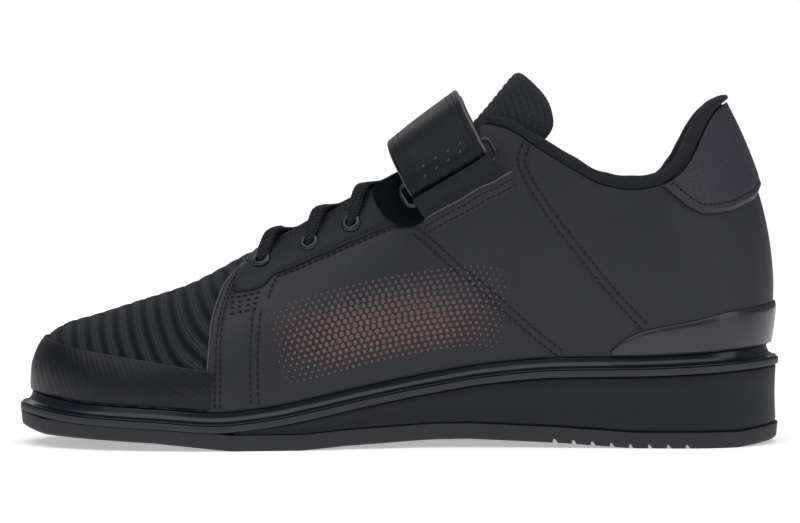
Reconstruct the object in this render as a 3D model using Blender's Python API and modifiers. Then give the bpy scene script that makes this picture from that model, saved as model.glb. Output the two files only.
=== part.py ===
"""Weightlifting shoe for the right foot, standing empty on its sole.

Frame: toe at -X, heel at +X, inner (medial) side at -Y, +Z up, floor at Z = 0.
All sizes here are in millimetres and go into the meshes through MM.

The shoe is worked out from one pair of parameters. The station u runs along the
sole from the toe tip (0) to the heel tip (1), and w runs up a rib of the upper
from the feather line (0) to its top line (1).
"""

import bpy
import bmesh
import numpy as np
from mathutils import Vector

MM = 0.001
GAP = 0.3
MEDIAL, LATERAL = -1.0, 1.0

# Sole
SOLE_LENGTH = 298.0
BALL_WIDTH = 106.0
WAIST_WIDTH = 74.0
HEEL_WIDTH = 75.0
TOE_ROUND = 50.0
HEEL_ROUND = 38.0
RIM_LOW = 9.5
TOE_RISE = 6.5
HEEL_RISE = 24.2
TOE_SPRING = 7.5
ARCH_RISE = 3.3
HEEL_SPRING = 2.0
OUTSOLE_THICKNESS = 6.0
OUTSOLE_EDGE = 1.4
WEDGE_RECESS = 0.9
WEDGE_START = 0.36
RIM_THICKNESS = 2.4
RIM_EDGE = 0.5
LEDGE_REACH = 5.0
LEDGE_RISE = 5.0
LEDGE_LIP = 0.8
INSOLE_THICKNESS = 4.0
GROOVE_WIDTH = 1.6
HEEL_GROOVES = 8
HEEL_GROOVE_DEPTH = 2.6
HEEL_GROOVE_PITCH = 7.3
HEEL_GROOVE_START = 0.70
FORE_GROOVES = 7
FORE_GROOVE_DEPTH = 1.3
FORE_GROOVE_PITCH = 9.0
FORE_GROOVE_START = 0.13
FORE_GROOVE_LENGTH = 62.0

# Upper
HEEL_HEIGHT = 132.0
ANKLE_WIDTH = 66.0
WALL = 2.0
QUARTER_STEP = 1.0
QUARTER_EDGE = 0.33
LATERAL_DROP = 3.0
OVERLAY_GAP = 0.4
OVERLAY_THICKNESS = 0.9
TAB_THICKNESS = 1.4
EYESTAY_WIDTH = 15.0
CUFF_THICKNESS = 5.5
CUFF_DEPTH = 24.0
CUFF_RISE = 4.8
CUFF_FIT = 0.9
TONGUE_THICKNESS = 5.0

# Eyelets and lace
EYELET_RADIUS = 3.9
EYELET_HOLE = 1.9
EYELET_BARREL = 0.45
EYELET_FLANGE = 0.9
EYELET_SETBACK = 9.0
LACE_WIDTH = 4.7
LACE_HEIGHT = 2.2

# Strap
STRAP_WIDTH = 34.0
STRAP_THICKNESS = 2.0
STRAP_LAYER_GAP = 0.5
STRAP_CLEARANCE = 7.4
FOLD_DROP = 4.6
RING_LENGTH = 41.0
RING_HEIGHT = 10.6
RING_WIRE = 1.5
RING_CORNER = 2.6
WEBBING_WIDTH = 34.0
WEBBING_THICKNESS = 1.4
WEBBING_TURN = (38.0, 225.0)
PAD_THICKNESS = 1.2
CREST_REACH = 20.0
RING_REACH = 12.0
SLOT_REACH = 14.0
SLOT_LIFT = 7.0

# Sole outline: station share of the length, centre as a share of the ball width,
# half width as a share of the named width
OUTLINE = (
    (0.000, -0.040, 0.385, BALL_WIDTH),
    (0.120, -0.020, 0.425, BALL_WIDTH),
    (0.265, 0.019, 0.490, BALL_WIDTH),
    (0.360, 0.042, 0.482, BALL_WIDTH),
    (0.460, 0.055, 0.420, BALL_WIDTH),
    (0.560, 0.055, 0.512, WAIST_WIDTH),
    (0.640, 0.042, 0.500, WAIST_WIDTH),
    (0.740, 0.020, 0.492, HEEL_WIDTH),
    (0.860, 0.005, 0.500, HEEL_WIDTH),
    (1.000, 0.000, 0.490, HEEL_WIDTH),
)

# Top of the rim over its lowest place: share of the length, share of the named rise
RIM_LINE = (
    (0.000, 1.000, TOE_RISE),
    (0.082, 0.480, TOE_RISE),
    (0.198, 0.180, TOE_RISE),
    (0.265, 0.000, TOE_RISE),
    (0.322, 0.062, HEEL_RISE),
    (0.394, 0.223, HEEL_RISE),
    (0.466, 0.413, HEEL_RISE),
    (0.540, 0.583, HEEL_RISE),
    (0.614, 0.736, HEEL_RISE),
    (0.705, 0.835, HEEL_RISE),
    (0.815, 0.860, HEEL_RISE),
    (0.906, 0.917, HEEL_RISE),
    (1.000, 1.000, HEEL_RISE),
)

# Underside over the floor: share of the length, share of the named rise
GROUND_LINE = (
    (0.000, 1.000, TOE_SPRING),
    (0.037, 0.667, TOE_SPRING),
    (0.122, 0.520, TOE_SPRING),
    (0.185, 0.400, TOE_SPRING),
    (0.235, 0.210, TOE_SPRING),
    (0.285, 0.000, TOE_SPRING),
    (0.375, 0.000, ARCH_RISE),
    (0.433, 0.420, ARCH_RISE),
    (0.539, 0.940, ARCH_RISE),
    (0.590, 1.000, ARCH_RISE),
    (0.705, 0.580, ARCH_RISE),
    (0.800, 0.000, ARCH_RISE),
    (0.940, 0.000, HEEL_SPRING),
    (1.000, 1.000, HEEL_SPRING),
)

# Top line of the upper: station u, x as a share of the sole's length from the toe,
# half gap as a share of the ankle width, height as a share of the heel height,
# centre as a share of the ball width. Up to QUARTER_EDGE it is the vamp's ridge
TOP_LINE = (
    (0.000, 0.0155, 0.000, 0.174, -0.040),
    (0.060, 0.0171, 0.000, 0.227, -0.040),
    (0.110, 0.0235, 0.000, 0.273, -0.038),
    (0.150, 0.0346, 0.000, 0.313, -0.036),
    (0.190, 0.0604, 0.000, 0.352, -0.030),
    (0.225, 0.1007, 0.000, 0.379, -0.022),
    (0.260, 0.1577, 0.000, 0.420, -0.012),
    (0.295, 0.2215, 0.000, 0.467, -0.004),
    (0.330, 0.2987, 0.000, 0.558, 0.000),
    (0.345, 0.3070, 0.098, 0.566, 0.000),
    (0.365, 0.3289, 0.159, 0.588, 0.000),
    (0.390, 0.3591, 0.194, 0.621, 0.000),
    (0.420, 0.4010, 0.220, 0.668, 0.000),
    (0.460, 0.4631, 0.258, 0.745, 0.000),
    (0.500, 0.5268, 0.288, 0.826, 0.000),
    (0.540, 0.5856, 0.326, 0.906, 0.000),
    (0.565, 0.6141, 0.348, 0.941, 0.000),
    (0.590, 0.6393, 0.376, 0.928, 0.000),
    (0.620, 0.6745, 0.424, 0.879, 0.000),
    (0.660, 0.7215, 0.470, 0.814, 0.000),
    (0.700, 0.7617, 0.492, 0.767, 0.000),
    (0.740, 0.7987, 0.500, 0.753, 0.000),
    (0.780, 0.8322, 0.492, 0.764, 0.000),
    (0.820, 0.8557, 0.455, 0.795, 0.000),
    (0.860, 0.8725, 0.386, 0.845, 0.000),
    (0.900, 0.8859, 0.295, 0.902, 0.000),
    (0.940, 0.8993, 0.197, 0.955, 0.000),
    (0.970, 0.9128, 0.103, 0.991, 0.000),
    (1.000, 0.9211, 0.000, 1.004, 0.000),
)

# Bend of each rib: station u, outward lean at the feather line and dip below the
# level at the top line in degrees, and both handles as shares of the rib's chord
RIB_BEND = (
    (0.00, 5.0, 0.0, 0.40, 0.00),
    (0.06, 6.0, 0.0, 0.40, 0.36),
    (0.15, 8.0, 0.0, 0.42, 0.50),
    (0.26, 10.0, 2.0, 0.38, 0.42),
    (0.33, 10.0, 10.0, 0.38, 0.32),
    (0.39, 10.0, 38.0, 0.35, 0.26),
    (0.46, 9.0, 50.0, 0.34, 0.26),
    (0.54, 8.0, 62.0, 0.33, 0.26),
    (0.60, 8.0, 74.0, 0.33, 0.28),
    (0.70, 8.0, 86.0, 0.33, 0.30),
    (0.80, 8.0, 86.0, 0.33, 0.30),
    (0.90, 12.0, 76.0, 0.33, 0.33),
    (1.00, 18.0, 66.0, 0.33, 0.33),
)


def clear_scene():
    for obj in list(bpy.data.objects):
        bpy.data.objects.remove(obj, do_unlink=True)


def smooth(x, xs, ys):
    """Cubic through the rows, with harmonic-mean slopes, so it never overshoots."""
    x = np.asarray(x, float)
    xs = np.asarray(xs, float)
    ys = np.asarray(ys, float)
    steps = np.diff(xs)
    secants = np.diff(ys) / steps
    slopes = np.zeros_like(ys)
    product = secants[:-1] * secants[1:]
    total = secants[:-1] + secants[1:]
    rising = product > 0
    slopes[1:-1][rising] = 2 * product[rising] / total[rising]
    slopes[0] = secants[0]
    slopes[-1] = secants[-1]
    k = np.clip(np.searchsorted(xs, x, side="right") - 1, 0, len(steps) - 1)
    t = np.clip((x - xs[k]) / steps[k], 0.0, 1.0)
    return ((2 * t**3 - 3 * t**2 + 1) * ys[k] + (t**3 - 2 * t**2 + t) * steps[k] * slopes[k]
            + (3 * t**2 - 2 * t**3) * ys[k + 1] + (t**3 - t**2) * steps[k] * slopes[k + 1])


def column(table, index):
    return [row[index] for row in table]


def sized(table, index):
    """A table's column of shares times the named size at the end of each row."""
    return [row[index] * row[-1] for row in table]


def share_of(u):
    """Share of the sole's length at station u. Stations crowd at both round ends."""
    return (1 - np.cos(np.pi * np.asarray(u, float))) / 2


def station_of(share):
    return np.arccos(1 - 2 * np.asarray(share, float)) / np.pi


def rim_top(u):
    share = share_of(u)
    return RIM_LOW + smooth(share, column(RIM_LINE, 0), sized(RIM_LINE, 1))


def underside(u):
    return np.interp(share_of(u), column(GROUND_LINE, 0), sized(GROUND_LINE, 1))


def outline(side, u):
    """Edge of the sole in plan: a centre line and a half width with elliptic ends."""
    u = np.asarray(u, float)
    side = np.where((u < 0) | (u > 1), -side, side)
    share = share_of(u)
    x = (share - 0.5) * SOLE_LENGTH
    centre = smooth(share, column(OUTLINE, 0), column(OUTLINE, 1)) * BALL_WIDTH
    half = smooth(share, column(OUTLINE, 0), sized(OUTLINE, 2))
    toe = np.clip(1 - share * SOLE_LENGTH / TOE_ROUND, 0, 1)
    heel = np.clip(1 - (1 - share) * SOLE_LENGTH / HEEL_ROUND, 0, 1)
    half = half * np.sqrt(1 - toe**2) * np.sqrt(1 - heel**2)
    return np.stack([x, centre + side * half], axis=-1)


def outward(side, u):
    """Unit normal of the outline in plan, pointing away from the shoe."""
    step = 0.004
    along = outline(side, u + step) - outline(side, u - step)
    along = along / np.linalg.norm(along, axis=-1, keepdims=True)
    return np.stack([-along[..., 1] * side, along[..., 0] * side], axis=-1)


def inset_outline(side, u, inset):
    return outline(side, u) - outward(side, u) * inset


def rib_ends(side, u):
    """Feather point and top point of the ribs at stations u."""
    foot_xy = inset_outline(side, u, LEDGE_REACH)
    foot_z = rim_top(u) + LEDGE_RISE + GAP
    foot = np.concatenate([foot_xy, foot_z[..., None]], axis=-1)
    stations = column(TOP_LINE, 0)
    x = (smooth(u, stations, column(TOP_LINE, 1)) - 0.5) * SOLE_LENGTH
    half = smooth(u, stations, column(TOP_LINE, 2)) * ANKLE_WIDTH
    z = smooth(u, stations, column(TOP_LINE, 3)) * HEEL_HEIGHT
    centre = smooth(u, stations, column(TOP_LINE, 4)) * BALL_WIDTH
    if side == LATERAL:
        z = z - LATERAL_DROP * np.sin(np.pi * np.clip((u - 0.56) / 0.44, 0, 1)) ** 2
    return foot, np.stack([x, centre + side * half, z], axis=-1)


def upper_surface(side, u, w, raised=0.0):
    """Outer face of the knit and leather, and how far it is raised along its normal.

    Each rib is one cubic curve from the feather line to the top line. It leaves the
    feather line upwards and a little outwards, and reaches the top line at the dip.
    """
    u, w, raised = np.broadcast_arrays(np.asarray(u, float), w, raised)

    def point(u, w):
        foot, top = rib_ends(side, u)
        lean = np.radians(smooth(u, column(RIB_BEND, 0), column(RIB_BEND, 1)))
        dip = np.radians(smooth(u, column(RIB_BEND, 0), column(RIB_BEND, 2)))
        low = smooth(u, column(RIB_BEND, 0), column(RIB_BEND, 3))
        high = smooth(u, column(RIB_BEND, 0), column(RIB_BEND, 4))
        chord = np.linalg.norm(top - foot, axis=-1)
        away = outward(side, u)
        turn = np.clip((u - 0.68) / 0.27, 0, 1)[..., None]
        level = turn * away + (1 - turn) * np.array([0.0, side])
        level = level / np.linalg.norm(level, axis=-1, keepdims=True)
        sweep = (top - foot) * np.array([0.15, 0.0, 0.0])
        up = np.concatenate([away * np.sin(lean)[..., None], np.cos(lean)[..., None]], axis=-1)
        down = np.concatenate([level * np.cos(dip)[..., None], -np.sin(dip)[..., None]], axis=-1)
        near_foot = foot + up * (low * chord)[..., None] + sweep
        near_top = top + down * (high * chord)[..., None] - sweep
        t = w[..., None]
        return ((1 - t) ** 3 * foot + 3 * (1 - t) ** 2 * t * near_foot
                + 3 * (1 - t) * t**2 * near_top + t**3 * top)

    step = 0.002
    before = np.clip(u - step, 0.001, 0.999 - step)
    along = point(before + 2 * step, w) - point(before, w)
    above = np.clip(w + step, 2 * step, 1.0)
    rising = point(u, above) - point(u, above - 2 * step)
    normal = np.cross(along, rising) * -side
    flat = np.array([1.0, 0.0, 1.0])
    on_ridge = (w > 1 - 1e-6) & (u < QUARTER_EDGE + 1e-6)
    ridge = np.cross(flat * along, [0.0, 1.0, 0.0])
    chord = point(u, np.ones_like(w)) - point(u, np.zeros_like(w))
    rising = np.where((u < 1e-6)[..., None], chord, rising)
    tip = np.cross(flat * rising, [0.0, 1.0, 0.0]) * np.where(u < 0.5, 1.0, -1.0)[..., None]
    normal = np.where(on_ridge[..., None], ridge, normal)
    normal = np.where(((u < 1e-6) | (u > 1 - 1e-6))[..., None], tip, normal)
    normal = normal / np.linalg.norm(normal, axis=-1, keepdims=True)
    return point(u, w) + normal * raised[..., None], normal


# Meshes

def placed(point):
    """A point in metres in the shared frame, with the shoe's box centred over the origin."""
    share = np.linspace(0.0, 1.0, 401)
    width = [outline(side, share)[..., 1] for side in (MEDIAL, LATERAL)]
    middle = (np.min(width) + np.max(width)) / 2
    return (np.asarray(point, float) - np.array([0.0, middle, 0.0])) * MM


def new_object(name, points, faces, finish):
    """A mesh from points in millimetres, with its doubles merged and faces outward."""
    mesh = bpy.data.meshes.new(name)
    mesh.from_pydata(placed(np.asarray(points).reshape(-1, 3)).tolist(), [], faces)
    shape = bmesh.new()
    shape.from_mesh(mesh)
    bmesh.ops.remove_doubles(shape, verts=shape.verts, dist=0.02 * MM)
    bmesh.ops.dissolve_degenerate(shape, edges=shape.edges, dist=0.01 * MM)
    if all(edge.is_manifold for edge in shape.edges):
        bmesh.ops.recalc_face_normals(shape, faces=shape.faces)
    shape.to_mesh(mesh)
    shape.free()
    mesh.shade_smooth()
    mesh.set_sharp_from_angle(angle=np.radians(35))
    mesh.materials.append(finish)
    obj = bpy.data.objects.new(name, mesh)
    PIECES.objects.link(obj)
    return obj


def grid_faces(rows, columns, wrap=False, first=0):
    """Quads between neighbours of a rows by columns grid, wrapped along its columns."""
    index = first + np.arange(rows * columns).reshape(rows, columns)
    if wrap:
        index = np.concatenate([index, index[:, :1]], axis=1)
    quads = np.stack([index[:-1, :-1], index[:-1, 1:], index[1:, 1:], index[1:, :-1]], axis=-1)
    return quads.reshape(-1, 4).tolist()


def closed_sweep(name, sections, finish):
    """A solid through closed sections of equal count, with a flat face on each end."""
    sections = np.asarray(sections)
    count, around = sections.shape[:2]
    faces = grid_faces(count, around, wrap=True)
    faces.append(list(range(around)))
    faces.append(list(range((count - 1) * around, count * around)))
    return new_object(name, sections, faces, finish)


def thicken(obj, thickness, outward_side):
    wall = obj.modifiers.new("wall", "SOLIDIFY")
    wall.thickness = thickness * MM
    wall.offset = outward_side
    wall.use_even_offset = False
    return obj


def make_finish(name, red, green, blue, roughness, metallic=0.0):
    finish = bpy.data.materials.new(name)
    finish.use_nodes = True
    shader = finish.node_tree.nodes["Principled BSDF"]
    shader.inputs["Base Color"].default_value = (red, green, blue, 1.0)
    shader.inputs["Roughness"].default_value = roughness
    shader.inputs["Metallic"].default_value = metallic
    return finish


def carve(target, cutters):
    """Cut a list of closed meshes out of the target, all at once."""
    for cutter in cutters:
        CUTTERS.objects.link(cutter)
        cutter.hide_render = True
        cutter.display_type = "WIRE"
        cut = target.modifiers.new("cut", "BOOLEAN")
        cut.operation = "DIFFERENCE"
        cut.solver = "EXACT"
        cut.object = cutter


# Sole

def plate(name, stations, levels, finish):
    """A slab that follows the sole's outline.

    Each level is an inset from the outline and the heights at the stations. The
    points of both sides share their stations, so the top and the underside are
    strips straight across.
    """
    rings = []
    for inset, height in levels:
        sides = []
        for side in (MEDIAL, LATERAL):
            flat = inset_outline(side, stations, inset)
            sides.append(np.concatenate([flat, height[:, None]], axis=1))
        rings.append(np.concatenate([sides[0], sides[1][::-1]]))
    count = len(stations)
    faces = grid_faces(len(levels), 2 * count, wrap=True)
    last = (len(levels) - 1) * 2 * count
    for first in (0, last):
        for k in range(count - 1):
            faces.append([first + k, first + k + 1, first + 2 * count - 2 - k,
                          first + 2 * count - 1 - k])
    return new_object(name, np.concatenate(rings), faces, finish)


def sole_stations(first=0.0, count=34):
    return np.linspace(first, 1.0, count)


def groove_cutter(name, share, width, length, depth):
    """A cross slab whose top lies one groove depth above the underside there."""
    mesh = bpy.data.meshes.new(name)
    shape = bmesh.new()
    bmesh.ops.create_cube(shape, size=1.0)
    height = 2 * (depth + GAP)
    bmesh.ops.scale(shape, verts=shape.verts, vec=Vector((width, length, height)) * MM)
    shape.to_mesh(mesh)
    shape.free()
    cutter = bpy.data.objects.new(name, mesh)
    u = station_of(share)
    top = float(underside(u)) + depth
    middle = (outline(MEDIAL, u) + outline(LATERAL, u)) / 2
    cutter.location = placed((middle[0], middle[1], top - height / 2)).tolist()
    return cutter


def build_sole():
    stations = sole_stations()
    low = underside(stations)
    shelf = rim_top(stations) - RIM_THICKNESS - GAP
    rubber_top = np.minimum(low + OUTSOLE_THICKNESS, shelf)
    outsole = plate("outsole", stations, [
        (OUTSOLE_EDGE, low),
        (0.6, low + OUTSOLE_EDGE),
        (0.4, rubber_top),
    ], RUBBER)
    cutters = []
    for k in range(HEEL_GROOVES):
        share = HEEL_GROOVE_START + k * HEEL_GROOVE_PITCH / SOLE_LENGTH
        cutters.append(groove_cutter(f"heel_groove_{k + 1}", share, GROOVE_WIDTH,
                                     1.3 * HEEL_WIDTH, HEEL_GROOVE_DEPTH))
    for k in range(FORE_GROOVES):
        share = FORE_GROOVE_START + k * FORE_GROOVE_PITCH / SOLE_LENGTH
        cutters.append(groove_cutter(f"fore_groove_{k + 1}", share, GROOVE_WIDTH,
                                     FORE_GROOVE_LENGTH, FORE_GROOVE_DEPTH))
    carve(outsole, cutters)

    rear = sole_stations(WEDGE_START, 24)
    wedge_low = underside(rear) + OUTSOLE_THICKNESS + GAP
    wedge_top = rim_top(rear) - RIM_THICKNESS - GAP
    plate("wedge", rear, [(WEDGE_RECESS, wedge_low), (WEDGE_RECESS, wedge_top)], FOAM)

    top = rim_top(stations)
    plate("rim", stations, [
        (RIM_EDGE, top - RIM_THICKNESS),
        (0.0, top - RIM_THICKNESS + RIM_EDGE),
        (0.0, top - RIM_EDGE),
        (RIM_EDGE, top),
    ], RIM_RUBBER)
    plate("welt", stations, [
        (LEDGE_LIP, top + GAP),
        (LEDGE_LIP, top + GAP + LEDGE_LIP),
        (0.6 * LEDGE_REACH, top + 0.75 * LEDGE_RISE),
        (LEDGE_REACH, top + LEDGE_RISE),
    ], GLOSS)
    inside = LEDGE_REACH + WALL + 0.8
    bed = top + LEDGE_RISE + GAP
    plate("insole", stations, [(inside, bed), (inside, bed + INSOLE_THICKNESS)], LINING)


# Upper

def upper_stations():
    front = np.linspace(0.0, QUARTER_EDGE, 10)
    rear = np.linspace(QUARTER_EDGE + 0.002, 1.0, 21)
    return np.concatenate([front, rear])


def step_at(u):
    """Leather of the quarter stands over the knit by one step."""
    return np.where(np.asarray(u) > QUARTER_EDGE + 0.001, QUARTER_STEP, 0.0)


def side_grid(side, stations, low, high, rows, raised):
    """Points of one side between the w values low and high at each station."""
    t = np.linspace(0.0, 1.0, rows)[:, None]
    w = low + (high - low) * t
    points, _ = upper_surface(side, np.asarray(stations)[None, :], w, raised)
    return points


def both_sides(name, stations, low, high, rows, raised, finish):
    """One open surface of both sides, joined where they share their points."""
    points = []
    faces = []
    for side in (MEDIAL, LATERAL):
        lower = low(side, stations)
        upper = high(side, stations)
        grid = side_grid(side, stations, lower, upper, rows, raised)
        quads = grid_faces(rows, len(stations), first=len(points) * grid[..., 0].size)
        faces += quads if side == MEDIAL else [quad[::-1] for quad in quads]
        points.append(grid.reshape(-1, 3))
    return new_object(name, np.concatenate(points), faces, finish)


def level(value):
    return lambda side, stations: np.full(len(stations), value)


def at_height(side, stations, height):
    """w of each rib where it passes the given height."""
    w = np.linspace(0.0, 1.0, 60)
    points, _ = upper_surface(side, np.asarray(stations)[:, None], w[None, :])
    return np.array([np.interp(h, z, w) for h, z in zip(height, points[..., 2])])


def below_top(side, stations, distance):
    """w of each rib at a distance below its top, measured along the rib."""
    w = np.linspace(0.0, 1.0, 60)
    points, _ = upper_surface(side, np.asarray(stations)[:, None], w[None, :])
    steps = np.linalg.norm(np.diff(points, axis=1), axis=-1)
    left = np.cumsum(steps[:, ::-1], axis=1)[:, ::-1]
    left = np.concatenate([left, np.zeros((len(left), 1))], axis=1)
    distance = np.broadcast_to(distance, (len(left),))
    return np.array([np.interp(-d, -line, w) for d, line in zip(distance, left)])


# Edges of the overlays: station u, height as a share of the named height
TOE_CAP_HEIGHT = 41.3
TOE_CAP_EDGE = (
    (0.150, 1.000),
    (0.165, 0.965),
    (0.180, 0.940),
    (0.210, 0.900),
    (0.240, 0.860),
    (0.270, 0.820),
    (0.300, 0.775),
    (0.330, 0.730),
)
COUNTER_HEIGHT = 55.5
COUNTER_FRONT = 0.682
COUNTER_EDGE = (
    (0.680, 0.655),
    (0.700, 0.755),
    (0.722, 0.813),
    (0.797, 0.895),
    (0.850, 0.944),
    (1.000, 1.000),
)
TAB_FRONT = 0.79
TAB_EDGE = (
    (0.790, 0.735),
    (0.810, 0.712),
    (0.840, 0.690),
    (0.880, 0.682),
    (0.930, 0.700),
    (1.000, 0.750),
)
EYESTAY_FRONT = 0.345
EYESTAY_REAR = 0.575
EYELET_STATIONS = (0.362, 0.411, 0.447, 0.482)


def toe_cap_edge(side, stations):
    height = smooth(stations, column(TOE_CAP_EDGE, 0), column(TOE_CAP_EDGE, 1))
    edge = at_height(side, stations, height * TOE_CAP_HEIGHT)
    return np.where(stations <= TOE_CAP_EDGE[0][0] + 0.001, 1.0, edge)


def counter_edge(side, stations):
    height = smooth(stations, column(COUNTER_EDGE, 0), column(COUNTER_EDGE, 1))
    return at_height(side, stations, height * COUNTER_HEIGHT)


def tab_edge(side, stations):
    height = smooth(stations, column(TAB_EDGE, 0), column(TAB_EDGE, 1))
    return at_height(side, stations, height * HEEL_HEIGHT)


def build_upper():
    stations = upper_stations()
    upper = both_sides("upper", stations, level(0.0), level(1.0), 10,
                       step_at(stations)[None, :], LEATHER)
    thicken(upper, WALL, -1.0)

    crest = TOE_CAP_EDGE[0][0]
    front = np.concatenate([np.linspace(0.0, crest, 6), np.linspace(crest, 0.21, 7)[1:],
                            np.linspace(0.21, QUARTER_EDGE - 0.006, 6)[1:]])
    cap = both_sides("toe_cap", front, level(0.012), toe_cap_edge, 7, OVERLAY_GAP, CAP)
    thicken(cap, OVERLAY_THICKNESS, 1.0)

    raised = QUARTER_STEP + OVERLAY_GAP
    rear = np.concatenate([[COUNTER_FRONT], stations[stations > COUNTER_FRONT + 0.004]])
    counter = both_sides("heel_counter", rear, level(0.012), counter_edge, 4, raised, COUNTER)
    thicken(counter, OVERLAY_THICKNESS, 1.0)
    back = np.concatenate([[TAB_FRONT], stations[stations > TAB_FRONT + 0.004]])
    tab = both_sides("heel_tab", back, tab_edge, level(0.985), 6, raised, TAB)
    thicken(tab, TAB_THICKNESS, 1.0)

    between = stations[(stations > EYESTAY_FRONT + 0.004) & (stations < EYESTAY_REAR - 0.004)]
    line = np.concatenate([[EYESTAY_FRONT], between, [EYESTAY_REAR]])
    stays = []
    for side, word in ((MEDIAL, "medial"), (LATERAL, "lateral")):
        low = below_top(side, line, EYESTAY_WIDTH)
        grid = side_grid(side, line, low, 0.985, 5, raised)
        quads = grid_faces(5, len(line))
        quads = quads if side == MEDIAL else [quad[::-1] for quad in quads]
        stay = new_object(f"eyestay_{word}", grid, quads, LEATHER)
        stays.append(thicken(stay, OVERLAY_THICKNESS, 1.0))
    return upper, stays


# Collar cuff: inward offset as a share of its thickness, lift over the leather's top
# edge as a share of its rise, drop below that edge as a share of its depth
CUFF_FRONT = 0.577
CUFF_OUTER = (
    (-0.04, 0.00),
    (-0.10, 0.55),
    (0.16, 0.88),
    (0.55, 1.00),
    (0.98, 0.74),
    (1.25, 0.20),
)
CUFF_INNER = (
    (1.00, 0.15),
    (0.95, 0.55),
    (0.55, 0.88),
    (0.08, 1.00),
)


def cuff_section(side, u):
    """One closed section: a roll over the leather's edge and the padding inside it."""
    size = float(smooth(u, [CUFF_FRONT, 0.68, 1.0], [0.42, 1.0, 1.0]))
    rise = CUFF_RISE * float(smooth(u, [CUFF_FRONT, 0.64, 0.86, 1.0], [0.55, 1.0, 1.0, 0.45]))
    thickness = CUFF_THICKNESS * size
    edge, normal = upper_surface(side, u, 1.0, QUARTER_STEP)
    below, _ = upper_surface(side, u, 0.97, QUARTER_STEP)
    climb = (edge - below) / np.linalg.norm(edge - below)
    section = []
    for inward, lift in CUFF_OUTER:
        section.append(edge - normal * inward * thickness + climb * (GAP + lift * rise))
    inner_face = QUARTER_STEP - WALL - CUFF_FIT
    for inward, drop in CUFF_INNER:
        w = below_top(side, [u], drop * CUFF_DEPTH)[0]
        point, _ = upper_surface(side, u, w, inner_face - inward * thickness)
        section.append(point)
    point, _ = upper_surface(side, u, below_top(side, [u], 0.3 * CUFF_DEPTH)[0], inner_face)
    section.append(point)
    section.append(edge - normal * (WALL + CUFF_FIT) + climb * GAP)
    return section


def build_cuff():
    stations = upper_stations()
    half = np.concatenate([[CUFF_FRONT], stations[stations > CUFF_FRONT + 0.004]])
    sections = [cuff_section(MEDIAL, u) for u in half]
    sections += [cuff_section(LATERAL, u) for u in half[-2::-1]]
    closed_sweep("collar_cuff", sections, KNIT)


# Tongue: share along it, x as a share of the sole's length from the toe, height as a
# share of the heel height, radius as a share of the ankle width, half angle in degrees
TONGUE_LINE = (
    (0.00, 0.2600, 0.463, 0.21, 45.0),
    (0.10, 0.2987, 0.520, 0.24, 47.0),
    (0.23, 0.3658, 0.600, 0.28, 48.0),
    (0.37, 0.4329, 0.682, 0.30, 50.0),
    (0.52, 0.5000, 0.768, 0.31, 52.0),
    (0.70, 0.5671, 0.884, 0.32, 62.0),
    (0.86, 0.6141, 0.998, 0.34, 96.0),
    (0.95, 0.6400, 1.070, 0.35, 110.0),
    (1.00, 0.6540, 1.108, 0.35, 108.0),
)
TONGUE_CORNER = 0.05


def tongue_centre(t):
    x = (smooth(t, column(TONGUE_LINE, 0), column(TONGUE_LINE, 1)) - 0.5) * SOLE_LENGTH
    z = smooth(t, column(TONGUE_LINE, 0), column(TONGUE_LINE, 2)) * HEEL_HEIGHT
    return x, z


def tongue_surface(t, across):
    """Outer face of the tongue: an arc round the instep, across from -1 to 1."""
    t, across = np.broadcast_arrays(np.asarray(t, float), across)
    t = t * (1 - TONGUE_CORNER * np.abs(across) ** 3)
    x, z = tongue_centre(t)
    x_next, z_next = tongue_centre(np.minimum(t + 0.01, 1.0))
    x_last, z_last = tongue_centre(np.maximum(t - 0.01, 0.0))
    along = np.stack([x_next - x_last, z_next - z_last])
    along = along / np.linalg.norm(along, axis=0)
    radius = smooth(t, column(TONGUE_LINE, 0), column(TONGUE_LINE, 3)) * ANKLE_WIDTH
    angle = np.radians(smooth(t, column(TONGUE_LINE, 0), column(TONGUE_LINE, 4))) * across
    fall = radius * (1 - np.cos(angle))
    return np.stack([x + along[1] * fall, radius * np.sin(angle), z - along[0] * fall], axis=-1)


def build_tongue():
    rows, columns = 15, 11
    t = np.linspace(0, 1, rows)[:, None]
    across = np.linspace(-1, 1, columns)[None, :]
    faces = [quad[::-1] for quad in grid_faces(rows, columns)]
    tongue = new_object("tongue", tongue_surface(t, across), faces, KNIT)
    thicken(tongue, TONGUE_THICKNESS, -1.0)


# Eyelets and lace

def eyelet_seat(side, index):
    """Middle of an eyelet on the eyestay's face, and the normal there."""
    u = EYELET_STATIONS[index]
    w = below_top(side, [u], EYELET_SETBACK)[0]
    return upper_surface(side, u, w, QUARTER_STEP + OVERLAY_GAP + OVERLAY_THICKNESS)


def turn_to(normal):
    return Vector((0, 0, 1)).rotation_difference(Vector(normal.tolist())).to_euler()


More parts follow.
